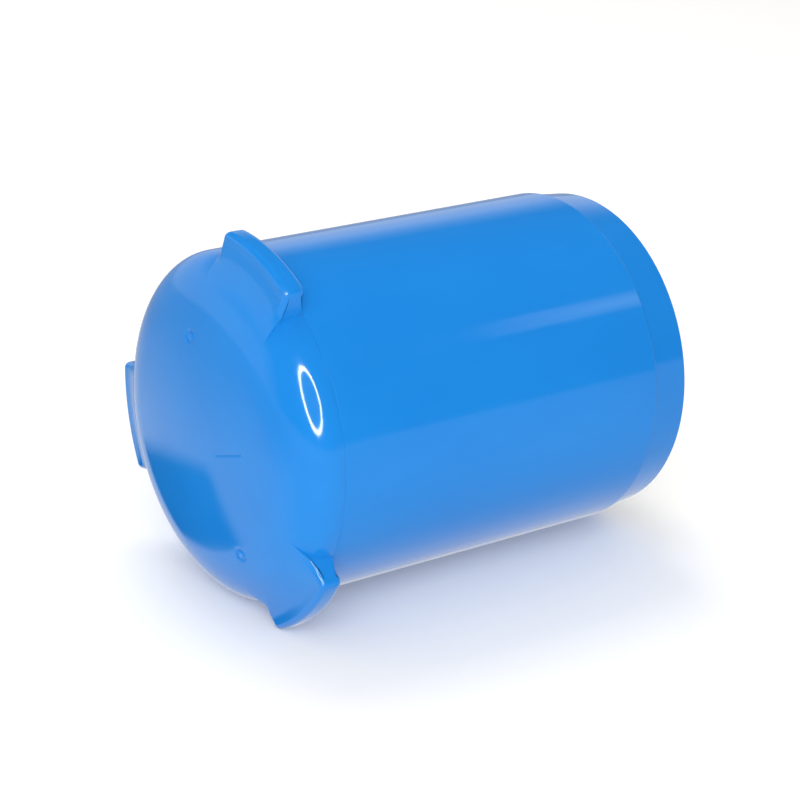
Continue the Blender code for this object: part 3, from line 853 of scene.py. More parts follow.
@dataclass(frozen=True)
class PlugThread:
    """The coarse thread between cup and base, raised on a turned wall by moving its rings."""

    starts: int = 3
    lead: float = 0.0180
    sweep: float = radians(100)
    depth: float = 0.0024
    root_width: float = 0.0026
    tip_width: float = 0.0018
    run_out: float = radians(7)
    corner: float = 0.00015
    on_wall: float = 2e-5

    def section(self) -> list[tuple[float, float]]:
        """Draw the ridge's section, with soft corners at its root and its tip.

        Returns:
            Offsets from the ridge's middle, each with its share of the ridge's depth.
        """
        root, tip, soft = self.root_width / 2, self.tip_width / 2, self.corner
        rise = [
            (-root - soft, 0.0),
            (-root, 0.04),
            (-(root + tip) / 2, 0.5),
            (-tip, 0.94),
            (-tip + soft, 1.0),
        ]
        fall = [(-offset, share) for offset, share in reversed(rise)]
        return rise + [(0.0, 1.0)] + fall

    def stations(self, middle: float) -> list[float]:
        """Stations of the rings that draw the ridge where it starts."""
        return [middle + offset for offset, _ in self.section()]

    def wind(
        self, bm: BMesh, radius: float, outward: bool, middle: float, first: float, low: float, high: float
    ) -> None:
        """Wind the rings of a wall into thread starts.

        Args:
            bm: The spun piece.
            radius: Radius of the wall.
            outward: Whether the thread stands out from the wall, or into the bore.
            middle: Station of the ridge's middle where it starts.
            first: Angle of the first start.
            low: Station below which nothing moves.
            high: Station above which nothing moves.
        """
        shares = {round(middle + offset, 6): share for offset, share in self.section()}
        ridge_low, ridge_high = min(shares), max(shares)
        spacing = tau / self.starts
        for vert in bm.verts:
            across = hypot(vert.co.x, vert.co.y)
            if abs(across - radius) > self.on_wall or not low < vert.co.z < high:
                continue
            station = vert.co.z
            angle = turn_between(atan2(vert.co.y, vert.co.x), first) % spacing
            turned_back = smooth((angle - self.sweep) / (spacing - self.sweep))
            climb = self.lead * min(angle, self.sweep) / tau * (1 - turned_back)
            if station > ridge_high:
                climb *= 1 - (station - ridge_high) / (high - ridge_high)
            elif station < ridge_low:
                climb *= (station - low) / (ridge_low - low)
            share = shares.get(round(station, 6), 0.0)
            share *= smooth(angle / self.run_out) * smooth((self.sweep - angle) / self.run_out)
            moved = across + (1 if outward else -1) * share * self.depth
            vert.co.x *= moved / across
            vert.co.y *= moved / across
            vert.co.z += climb


# ---------------------------------------------------------------------------------------------------------
# Cup
# ---------------------------------------------------------------------------------------------------------


@dataclass
class Cup:
    """The one-piece cup: barrel, rim band, domed end with three grip lugs, and the thread in its mouth."""

    housing: Housing
    thread: PlugThread
    barrel_radius: float = 0.0620
    wall: float = 0.0030
    barrel_length: float = 0.1340
    band_step: float = 0.0007
    rim_radius: float = 0.0596
    rim_round: float = 0.0008
    dome_straight: float = 0.0011
    shoulder_depth: float = 0.0180
    shoulder_width: float = 0.0300
    shoulder_turn: float = radians(75)
    groove_depth: float = 0.00028
    groove_width: float = 0.00062
    thread_middle: float = 0.1355
    plug_radius: float = 0.0246
    plug_tip: float = 0.0027
    cushion_seat: float = -0.0077
    cushion_seat_radius: float = 0.0287
    lug_count: int = 3
    lug_radius: float = 0.07126
    lug_thickness: float = 0.0083
    lug_half_width: float = 0.0200
    lug_round: float = 0.0021
    lug_end_round: float = 0.0019
    lug_from_top: float = radians(15)
    lug_columns: int = 10
    lug_arc_columns: int = 4
    columns: int = 192
    marks: tuple[tuple[float, float], ...] = ((0.0350, radians(352)), (0.0433, radians(143)))
    mark_radius: float = 0.0020
    mark_depth: float = 0.00065
    trace: tuple[tuple[float, float], ...] = ((0.0155, radians(93)), (0.0290, radians(82.5)))
    trace_depth: float = 0.00022
    trace_half_width: float = 0.0006
    mark_reach: float = 0.0034
    trace_reach: float = 0.0018
    wind_after: float = 0.0004
    wind_before: float = 0.0015
    strip: list[Point] = field(default_factory=list)

    def build(self) -> None:
        """Build the cup and hand it over."""
        bm = spun(self.outside() + self.inside(), self.columns, closed=False)
        self.raise_lugs(bm)
        bore = self.rim_radius - self.wall
        low, high = self.thread_start() + self.wind_after, self.housing.mouth - self.wind_before
        self.thread.wind(bm, bore, False, self.thread_middle, 0.0, low, high)
        self.press_marks(bm)
        self.housing.hand_over(bm, "cup_moulding", CUP_BLUE, Body.CUP, Slot.CUP_PLASTIC, "housing_cup")

    def face_radius(self) -> float:
        """Radius where the crowned face meets the shoulder."""
        return self.barrel_radius - self.shoulder_width * (1 - cos(self.shoulder_turn))

    def crown_rise(self) -> float:
        """How far the face stands out at its middle."""
        slope = self.shoulder_depth / self.shoulder_width / tan(self.shoulder_turn)
        return slope * self.face_radius() / 2

    def crown(self, radius: float, depth: float = 0.0) -> Point:
        """A point of the face, set inwards by a depth."""
        tip = -self.dome_straight - self.shoulder_depth * sin(self.shoulder_turn) - self.crown_rise()
        return radius, tip + self.crown_rise() * (radius / self.face_radius()) ** 2 + depth

    def shoulder(self, angle: float, depth: float = 0.0) -> Point:
        """Find a point of the elliptical shoulder.

        Args:
            angle: Angle from the barrel, on the ellipse.
            depth: How far the point is set inwards, square to the skin.

        Returns:
            The point.
        """
        across = cos(angle) / self.shoulder_width
        along = sin(angle) / self.shoulder_depth
        length = hypot(across, along)
        radius = self.barrel_radius - self.shoulder_width * (1 - cos(angle)) - depth * across / length
        station = -self.dome_straight - self.shoulder_depth * sin(angle) + depth * along / length
        return radius, station

    def outside(self) -> list[Point]:
        """Draw the outside from the middle of the face to the mouth, noting the rings of the lugs.

        Returns:
            The outline's points.
        """
        face_steps, shoulder_steps, lug_steps, barrel_steps = 34, 40, 24, 24
        points = [self.crown(self.face_radius() * i / face_steps) for i in range(face_steps)]
        turns = [self.shoulder_turn * (1 - i / shoulder_steps) for i in range(shoulder_steps + 1)]
        shoulder = [self.shoulder(turn) for turn in turns]
        edge = [(self.barrel_radius, -self.dome_straight / 2), (self.barrel_radius, -0.00015)]
        self.strip = shoulder[-lug_steps - 1 :] + edge
        points += shoulder + edge
        depth, width = self.groove_depth, self.groove_width
        points += [
            (self.barrel_radius - 0.4 * depth, 0.0),
            (self.barrel_radius - depth, 0.18 * width),
            (self.barrel_radius - depth, 0.6 * width),
            (self.barrel_radius - 0.3 * depth, width),
            (self.barrel_radius, 2 * width),
        ]
        start, end = 4 * width, self.barrel_length - 0.0012
        for i in range(barrel_steps + 1):
            points.append((self.barrel_radius, start + (end - start) * i / barrel_steps))
        return points + self.band()

    def band(self) -> list[Point]:
        """Draw the tapered band and the rounded rim, down to the start of the bore.

        Returns:
            The outline's points.
        """
        bore, mouth = self.rim_radius - self.wall, self.housing.mouth
        step_end = self.barrel_length + self.band_step
        corners = [
            (self.barrel_radius, self.barrel_length - 0.0010, 0.0),
            (self.barrel_radius, self.barrel_length, 0.0004),
            (self.barrel_radius - self.band_step, step_end, 0.0005),
            (self.rim_radius + 0.00117, step_end + 0.0045, 0.0),
            (self.rim_radius + 0.00059, step_end + 0.0095, 0.0),
            (self.rim_radius, mouth, self.rim_round),
            (bore, mouth, self.rim_round),
            (bore, mouth - 0.0014, 0.0),
        ]
        return rounded(corners, 5, closed=False)

    def thread_start(self) -> float:
        """Station where the narrower mouth bore begins."""
        return self.barrel_length - self.wall + (self.barrel_radius - self.rim_radius)

    def inside(self) -> list[Point]:
        """Draw the inside from the mouth to the middle of the plug.

        Returns:
            The outline's points.
        """
        barrel_steps, shoulder_steps = 12, 20
        mouth_bore = self.rim_radius - self.wall
        bore = self.barrel_radius - self.wall
        ridge = self.thread.stations(self.thread_middle)
        above = [self.housing.mouth - 0.0030 - 0.0022 * i for i in range(4)]
        points = [(mouth_bore, station) for station in above + ridge[::-1]]
        corners = [
            (mouth_bore, ridge[0] - 0.0002, 0.0),
            (mouth_bore, self.thread_start(), 0.0003),
            (bore, self.barrel_length - self.wall, 0.0008),
            (bore, self.barrel_length - 0.0060, 0.0),
        ]
        points += rounded(corners, 4, closed=False)[1:]
        points += [(bore, self.barrel_length * i / barrel_steps) for i in range(barrel_steps - 1, 0, -1)]
        turns = [self.shoulder_turn * i / shoulder_steps for i in range(shoulder_steps + 1)]
        points += [self.shoulder(turn, self.wall) for turn in turns]
        seat, plug = self.cushion_seat_radius, self.plug_radius
        plug_bore = plug - self.wall
        corners = [
            (*self.shoulder(self.shoulder_turn, self.wall), 0.0),
            (*self.crown(seat, self.wall), 0.0010),
            (seat, self.cushion_seat, 0.0003),
            (plug, self.cushion_seat, 0.0003),
            (plug, self.plug_tip, 0.0006),
            (plug_bore, self.plug_tip, 0.0006),
            (*self.crown(plug_bore, self.wall), 0.0015),
            (*self.crown(0.0, self.wall), 0.0),
        ]
        return points + rounded(corners, 4, closed=False)[1:]

    def lug_angles(self) -> list[float]:
        """Local angles of the lugs' middles."""
        return [pi + self.lug_from_top + tau * i / self.lug_count for i in range(self.lug_count)]

    def lug_outline(self) -> list[Point]:
        """Draw a lug over its middle, with one point for each ring that it takes from the dome.

        It leaves the shoulder smoothly, runs flat to a rounded tip and ends behind on the parting line.

        Returns:
            The outline's points.
        """
        arc_steps, tip_steps = 5, 4
        blend_steps = len(self.strip) - 1 - 2 * arc_steps - tip_steps
        start = Vector(self.strip[0])
        slope = (Vector(self.strip[1]) - start).normalized()
        front = -self.lug_thickness
        knee = start + slope * ((front - start.y) / slope.y)
        end = Vector((self.lug_radius - self.lug_round, front))
        points: list[Point] = []
        for i in range(blend_steps):
            share = i / blend_steps
            spot = start * (1 - share) ** 2 + knee * 2 * share * (1 - share) + end * share**2
            points.append((spot.x, spot.y))
        turn = self.lug_round
        for i in range(arc_steps):
            angle = pi / 2 * i / arc_steps
            points.append((end.x + turn * sin(angle), front + turn * (1 - cos(angle))))
        for i in range(tip_steps):
            points.append((self.lug_radius, front + turn + (-front - 2 * turn) * i / tip_steps))
        for i in range(arc_steps + 1):
            angle = pi / 2 * i / arc_steps
            points.append((end.x + turn * cos(angle), -turn + turn * sin(angle)))
        return points

    def raise_lugs(self, bm: BMesh) -> None:
        """Raise the three lugs out of the dome's own rings, with parallel rounded ends.

        Args:
            bm: The spun cup.
        """
        step = tau / self.columns
        half_sweep = self.lug_columns * step
        outline = self.lug_outline()
        raised: set[BMVert] = set()
        for centre in self.lug_angles():
            faces = [face for face in bm.faces if self.under_lug(face, centre, half_sweep)]
            grown = bmesh.ops.extrude_face_region(bm, geom=faces)["geom"]
            left = [face for face in faces if face.is_valid]
            if left:
                bmesh.ops.delete(bm, geom=left, context="FACES")
            for vert in grown:
                if isinstance(vert, BMVert):
                    vert.co = self.lug_point(vert.co, centre, step, outline)
                    raised.add(vert)
        for vert in bm.verts:
            if vert not in raised:
                self.square_up(vert, half_sweep)
        bmesh.ops.remove_doubles(bm, verts=bm.verts, dist=MERGE)

    def on_outside(self, radius: float, station: float) -> bool:
        """Tell the shoulder's outer skin from its inner one.

        Args:
            radius: The point's radius.
            station: Its station.

        Returns:
            Whether the point lies on the outer skin.
        """
        depth = min(1.0, max(0.0, (-station - self.dome_straight) / self.shoulder_depth))
        outer = self.barrel_radius - self.shoulder_width * (1 - cos(asin(depth)))
        return radius > outer - self.wall / 3

    def under_lug(self, face: BMFace, centre: float, half_sweep: float) -> bool:
        """Find out whether a lug grows from a face of the dome.

        Args:
            face: The face.
            centre: Local angle of the lug's middle.
            half_sweep: Angle from there to the lug's ends, before they are squared.

        Returns:
            Whether it does.
        """
        spot = face.calc_center_median()
        inside_sweep = abs(turn_between(atan2(spot.y, spot.x), centre)) < half_sweep
        inside_strip = self.strip[0][1] < spot.z < self.strip[-1][1]
        return inside_sweep and inside_strip and self.on_outside(hypot(spot.x, spot.y), spot.z)

    def lug_point(self, spot: Vector, centre: float, step: float, outline: Sequence[Point]) -> Vector:
        """Where a point of the dome goes when its lug is raised.

        Args:
            spot: The point on the dome.
            centre: Local angle of the lug's middle.
            step: Angle between columns.
            outline: The outline over the lug's middle.

        Returns:
            The point on the lug.
        """
        ring = min(range(len(self.strip)), key=lambda i: abs(self.strip[i][1] - spot.z))
        column = round(turn_between(atan2(spot.y, spot.x), centre) / step)
        before, after = outline[max(0, ring - 1)], outline[min(len(outline) - 1, ring + 1)]
        along = Vector((after[0] - before[0], after[1] - before[1])).normalized()
        outwards = Vector((along.y, -along.x))
        here = Vector(outline[ring])
        height = min((here - Vector(below)).length for below in self.strip)
        grown = smooth(height / (3 * self.lug_end_round))
        rounding = self.lug_end_round * grown
        side, number = (1 if column >= 0 else -1), abs(column)
        inner_columns = self.lug_columns - self.lug_arc_columns
        if number >= inner_columns:
            angle = pi / 2 * (self.lug_columns - number) / self.lug_arc_columns
            reach = self.lug_half_width - rounding * (1 - cos(angle))
            sunk = rounding * (1 - sin(angle))
        else:
            reach = (self.lug_half_width - rounding) * number / inner_columns
            sunk = 0.0
        even = self.lug_half_width * number / self.lug_columns
        across = side * (even + (reach - even) * grown)
        radius, station = here - outwards * sunk
        local = Vector(((radius**2 - across**2) ** 0.5, across, station))
        return Matrix.Rotation(centre, 3, "Z") @ local

    def square_up(self, vert: BMVert, half_sweep: float) -> None:
        """Slide a point of the dome round the axis, so that the lugs' ends stand parallel.

        Args:
            vert: The point.
            half_sweep: Angle from a lug's middle to its ends, before they are squared.
        """
        radius = hypot(vert.co.x, vert.co.y)
        inner_limit = self.face_radius()
        if radius < inner_limit or vert.co.z > self.groove_width or not self.on_outside(radius, vert.co.z):
            return
        angle = atan2(vert.co.y, vert.co.x)
        centre = min(self.lug_angles(), key=lambda middle: abs(turn_between(angle, middle)))
        off = turn_between(angle, centre)
        share = abs(off) / half_sweep
        strip_radius = max(radius, self.strip[0][0])
        edge = asin(self.lug_half_width / strip_radius)
        if share <= 1:
            wanted = asin(self.lug_half_width * share / strip_radius)
        elif share < 2:
            wanted = abs(off) + (edge - half_sweep) * (2 - share)
        else:
            return
        weight = smooth((radius - inner_limit) / (self.strip[0][0] - inner_limit))
        moved = centre + (1 if off >= 0 else -1) * (abs(off) + (wanted - abs(off)) * weight)
        vert.co.x, vert.co.y = radius * cos(moved), radius * sin(moved)

    def on_face(self, radius: float, from_top: float) -> Vector:
        """A point of the outer face, at an angle from the top towards the front."""
        station = self.crown(radius)[1]
        return Vector((radius * cos(pi + from_top), radius * sin(pi + from_top), station))

    def press_marks(self, bm: BMesh) -> None:
        """Press the two ejector marks and the short flow trace into the face.

        Each mark is a ring-shaped groove round a middle that stands a little proud.

        Args:
            bm: The cup.
        """
        ring, width, depth = self.mark_radius, 0.28 * self.mark_radius, self.mark_depth
        for radius, angle in self.marks:
            middle = self.on_face(radius, angle)
            self.refine(bm, lambda spot: (spot - middle).length, self.mark_reach)
            for vert in bm.verts:
                away = (vert.co - middle).length
                if away < 2.5 * ring:
                    vert.co.z += depth * exp(-(((away - ring) / width) ** 2))
                    vert.co.z -= 0.3 * depth * exp(-((away / (2 * width)) ** 2))
        ends = [self.on_face(radius, angle) for radius, angle in self.trace]

        def away_from_trace(spot: Vector) -> float:
            """Measure how far a point is from the line of the flow trace.

            Args:
                spot: The point.

            Returns:
                The distance.
            """
            line = ends[1] - ends[0]
            share = min(1.0, max(0.0, (spot - ends[0]).dot(line) / line.length_squared))
            return (spot - ends[0] - line * share).length

        self.refine(bm, away_from_trace, self.trace_reach)
        for vert in bm.verts:
            away = away_from_trace(vert.co)
            if away < 4 * self.trace_half_width:
                vert.co.z += self.trace_depth * exp(-((away / self.trace_half_width) ** 2))

    def refine(self, bm: BMesh, distance: Callable[[Vector], float], reach: float) -> None:
        """Divide the face's mesh more finely near a mark.

        Args:
            bm: The cup.
            distance: Measures how far a point is from the mark.
            reach: Faces nearer than this are divided.
        """
        near = [face for face in bm.faces if distance(face.calc_center_median()) < reach]
        edges = {edge for face in near for edge in face.edges}
        bmesh.ops.subdivide_edges(bm, edges=list(edges), cuts=4, use_grid_fill=True)


# ---------------------------------------------------------------------------------------------------------
# Base, with its grille, screws and seal
# ---------------------------------------------------------------------------------------------------------


@dataclass
class Base:
    """The base plug that closes the mouth, its inlet grille with three screws, and its O-ring."""

    housing: Housing
    thread: PlugThread
    land_radius: float = 0.0562
    land_in: float = 0.1437
    land_out: float = 0.1497
    plate_out: float = 0.1475
    skirt_radius: float = 0.0534
    skirt_bore: float = 0.0504
    skirt_in: float = 0.1322
    skirt_round: float = 0.0003
    thread_middle: float = 0.1340
    thread_lag: float = radians(30)
    hub_radius: float = 0.0330
    hub_seat: float = 0.1561
    hub_floor: float = 0.1551
    hub_recess_radius: float = 0.0300
    hub_bore: float = 0.0192
    ring_section: float = 0.0026
    port_count: int = 9
    port_inner: float = 0.0375
    port_outer: float = 0.0485
    port_sweep: float = radians(24)
    port_round: float = 0.0010
    grille_thickness: float = 0.0016
    grille_slots: int = 24
    grille_slot_sweep: float = radians(4.5)
    screw_count: int = 3
    screw_radius: float = 0.0015
    screw_head_radius: float = 0.0029
    screw_head_height: float = 0.0018
    screw_length: float = 0.0040
    overshoot: float = 0.0030

    def build(self) -> None:
        """Build the base's pieces."""
        self.build_plug()
        self.build_grille()
        for number, angle in enumerate(self.screw_angles(), start=1):
            self.build_screw(number, angle)
        self.build_ring()

    def screw_angles(self) -> list[float]:
        """Local angles of the screws, each over a bar between two ports."""
        return [pi / self.port_count + tau * i / self.screw_count for i in range(self.screw_count)]

    def screw_pitch(self) -> float:
        """Radius of the circle that the screws stand on."""
        return (self.port_inner + self.port_outer) / 2

    def build_plug(self) -> None:
        """Turn the plug, wind its thread, and cut its ports and screw holes."""
        groove_floor = self.land_radius - self.ring_section - GAP
        middle = (self.land_in + self.land_out) / 2
        half = self.ring_section / 2 + GAP
        small, soft = 0.0002, 0.0005
        corners = [
            (self.hub_bore, self.land_in, small),
            (self.skirt_bore, self.land_in, soft),
            (self.skirt_bore, self.skirt_in, soft),
            (self.skirt_radius, self.skirt_in, self.skirt_round),
        ]
        wall = [(self.skirt_radius, station) for station in self.thread.stations(self.thread_middle)]
        above = [(self.skirt_radius, 0.1400), (self.skirt_radius, 0.1415)]
        rest = [
            (self.skirt_radius, self.land_in - 0.0008, 0.0),
            (self.skirt_radius, self.land_in, small),
            (self.land_radius, self.land_in, small),
            (self.land_radius, middle - half, small),
            (groove_floor, middle - half, small),
            (groove_floor, middle + half, small),
            (self.land_radius, middle + half, small),
            (self.land_radius, self.land_out, soft),
            (self.skirt_bore, self.land_out, soft),
            (self.skirt_bore, self.plate_out, soft),
            (self.hub_radius, self.plate_out, 0.0010),
            (self.hub_radius, self.hub_seat, 0.0007),
            (self.hub_recess_radius, self.hub_seat, 0.0003),
            (self.hub_recess_radius, self.hub_floor, small),
            (self.hub_bore, self.hub_floor, small),
        ]
        lower = rounded([rest[-1], *corners, rest[0]], 4, closed=False)[1:-1]
        upper = rounded([corners[-1], *rest, corners[0]], 4, closed=False)[1:-1]
        bm = spun(lower + wall + above + upper, 180)
        low, high = self.skirt_in + self.skirt_round + MERGE, self.land_in - 0.0009
        self.thread.wind(bm, self.skirt_radius, True, self.thread_middle, self.thread_lag, low, high)
        bm = carved(bm, self.plug_cutters(), Cut.REMOVE)
        self.housing.hand_over(bm, "base_moulding", BASE_PALE, Body.BASE, Slot.PALE_PLASTIC, "base_plug")

    def plug_cutters(self) -> BMesh:
        """Make what cuts the ports, with rounded corners, and the screw holes.

        Returns:
            The solids to cut with.
        """
        tool = bmesh.new()
        low, high = self.land_in - 0.0020, self.plate_out + 0.0020
        inner, outer = self.port_inner, self.port_outer
        section = [(inner, low), (outer, low), (outer, high), (inner, high)]
        for i in range(self.port_count):
            start = tau * i / self.port_count - self.port_sweep / 2
            first = [tool.verts.new((r * cos(start), r * sin(start), z)) for r, z in section]
            turned = bmesh.ops.spin(
                tool,
                geom=[tool.faces.new(first)],
                cent=(0, 0, 0),
                axis=(0, 0, 1),
                angle=self.port_sweep,
                steps=10,
            )
            ends = set(first) | {item for item in turned["geom_last"] if isinstance(item, BMVert)}
            upright = [
                edge
                for edge in tool.edges
                if ends.issuperset(edge.verts) and abs(edge.verts[0].co.z - edge.verts[1].co.z) > MERGE
            ]
            bmesh.ops.bevel(
                tool,
                geom=upright,
                offset=self.port_round,
                affect="EDGES",
                segments=3,
                profile=0.5,
                material=-1,
            )
        pilot = self.plate_out + self.grille_thickness + GAP - self.screw_length
        for angle in self.screw_angles():
            post(tool, self.screw_radius + GAP, pilot, high, self.screw_pitch(), angle)
        return tool

    def build_grille(self) -> None:
        """Turn the flat grille ring, cut its slots and screw holes, and soften its edges."""
        low, high = self.plate_out + GAP, self.plate_out + GAP + self.grille_thickness
        inner, outer = self.hub_radius + GAP, self.skirt_bore - GAP
        bm = spun([(inner, low), (inner, high), (outer, high), (outer, low)], 144)
        tool = bmesh.new()
        under, over = low - self.overshoot, high + self.overshoot
        width = self.grille_slot_sweep * self.port_inner
        clear = self.grille_slot_sweep / 2 + (self.screw_head_radius + GAP) / self.screw_pitch()
        for i in range(self.grille_slots):
            middle = tau * (i + 0.5) / self.grille_slots
            near = min(abs(turn_between(middle, angle)) for angle in self.screw_angles())
            if near > clear:
                slot_cutter(tool, self.port_inner, self.port_outer, width, under, over, middle)
        for angle in self.screw_angles():
            post(tool, self.screw_radius + GAP, under, over, self.screw_pitch(), angle)
        bm = carved(bm, tool, Cut.REMOVE)
        soften(bm, 0.00022)
        self.housing.hand_over(
            bm, "grille_moulding", BASE_PALE, Body.BASE, Slot.PALE_PLASTIC, "inlet_grille"
        )

    def build_screw(self, number: int, angle: float) -> None:
        """Build a pan-head screw with a cross recess, its head on the grille.

        Args:
            number: The screw's number.
            angle: Local angle at which it stands.
        """
        seat = self.plate_out + self.grille_thickness + 2 * GAP
        radius, head, height = self.screw_radius, self.screw_head_radius, self.screw_head_height
        profile = rounded(
            [
                (0.0, seat - self.screw_length, 0.0),
                (radius, seat - self.screw_length, 0.0004),
                (radius, seat, 0.0001),
                (head, seat, 0.00015),
                (head, seat + 0.55 * height, 0.0006),
                (0.55 * head, seat + height, 0.0010),
                (0.0, seat + height, 0.0),
            ],
            5,
            closed=False,
        )
        bm = spun(profile, 48, closed=False)
        for turn in (0.0, pi / 2):
            blade = bmesh.new()
            bmesh.ops.create_cube(blade, size=1.0)
            bmesh.ops.scale(blade, vec=(1.15 * head, 0.26 * head, 1.2 * height), verts=blade.verts)
            deep = [vert for vert in blade.verts if vert.co.z < 0]
            bmesh.ops.scale(blade, vec=(0.55, 0.7, 1), verts=deep)
            spot = Matrix.Translation((0, 0, seat + height)) @ Matrix.Rotation(turn, 4, "Z")
            bmesh.ops.transform(blade, matrix=spot, verts=blade.verts)
            bm = carved(bm, blade, Cut.REMOVE)
        bmesh.ops.rotate(bm, verts=bm.verts, cent=(0, 0, 0), matrix=Matrix.Rotation(angle * 2.3, 3, "Z"))
        pitch = self.screw_pitch()
        bmesh.ops.translate(bm, verts=bm.verts, vec=(pitch * cos(angle), pitch * sin(angle), 0))
        self.housing.hand_over(
            bm, f"pan_head_screw_{number}", SCREW_STEEL, Body.BASE, Slot.STEEL, f"grille_screw_{number}"
        )

    def build_ring(self) -> None:
        """Turn the O-ring in the land."""
        half = self.ring_section / 2
        middle_radius = self.land_radius - GAP / 2 - half
        middle = (self.land_in + self.land_out) / 2
        bm = spun(o_ring_outline(middle_radius, half, middle), 144)
        self.housing.hand_over(
            bm, "land_o_ring", BLACK_SEAL, Body.SEAL, Slot.SEAL_RUBBER, "base_o_ring"
        )


def o_ring_outline(middle_radius: float, half: float, station: float) -> list[Point]:
    """Draw the round section of an O-ring.

    Args:
        middle_radius: Radius of the section's middle.
        half: Half the section's thickness.
        station: Station of its middle.

    Returns:
        The outline's points.
    """
    sides = 20
    return [
        (middle_radius + half * cos(tau * i / sides), station - half * sin(tau * i / sides))
        for i in range(sides)
    ]


# ---------------------------------------------------------------------------------------------------------
# Outlet spigot, nut and seals
# ---------------------------------------------------------------------------------------------------------


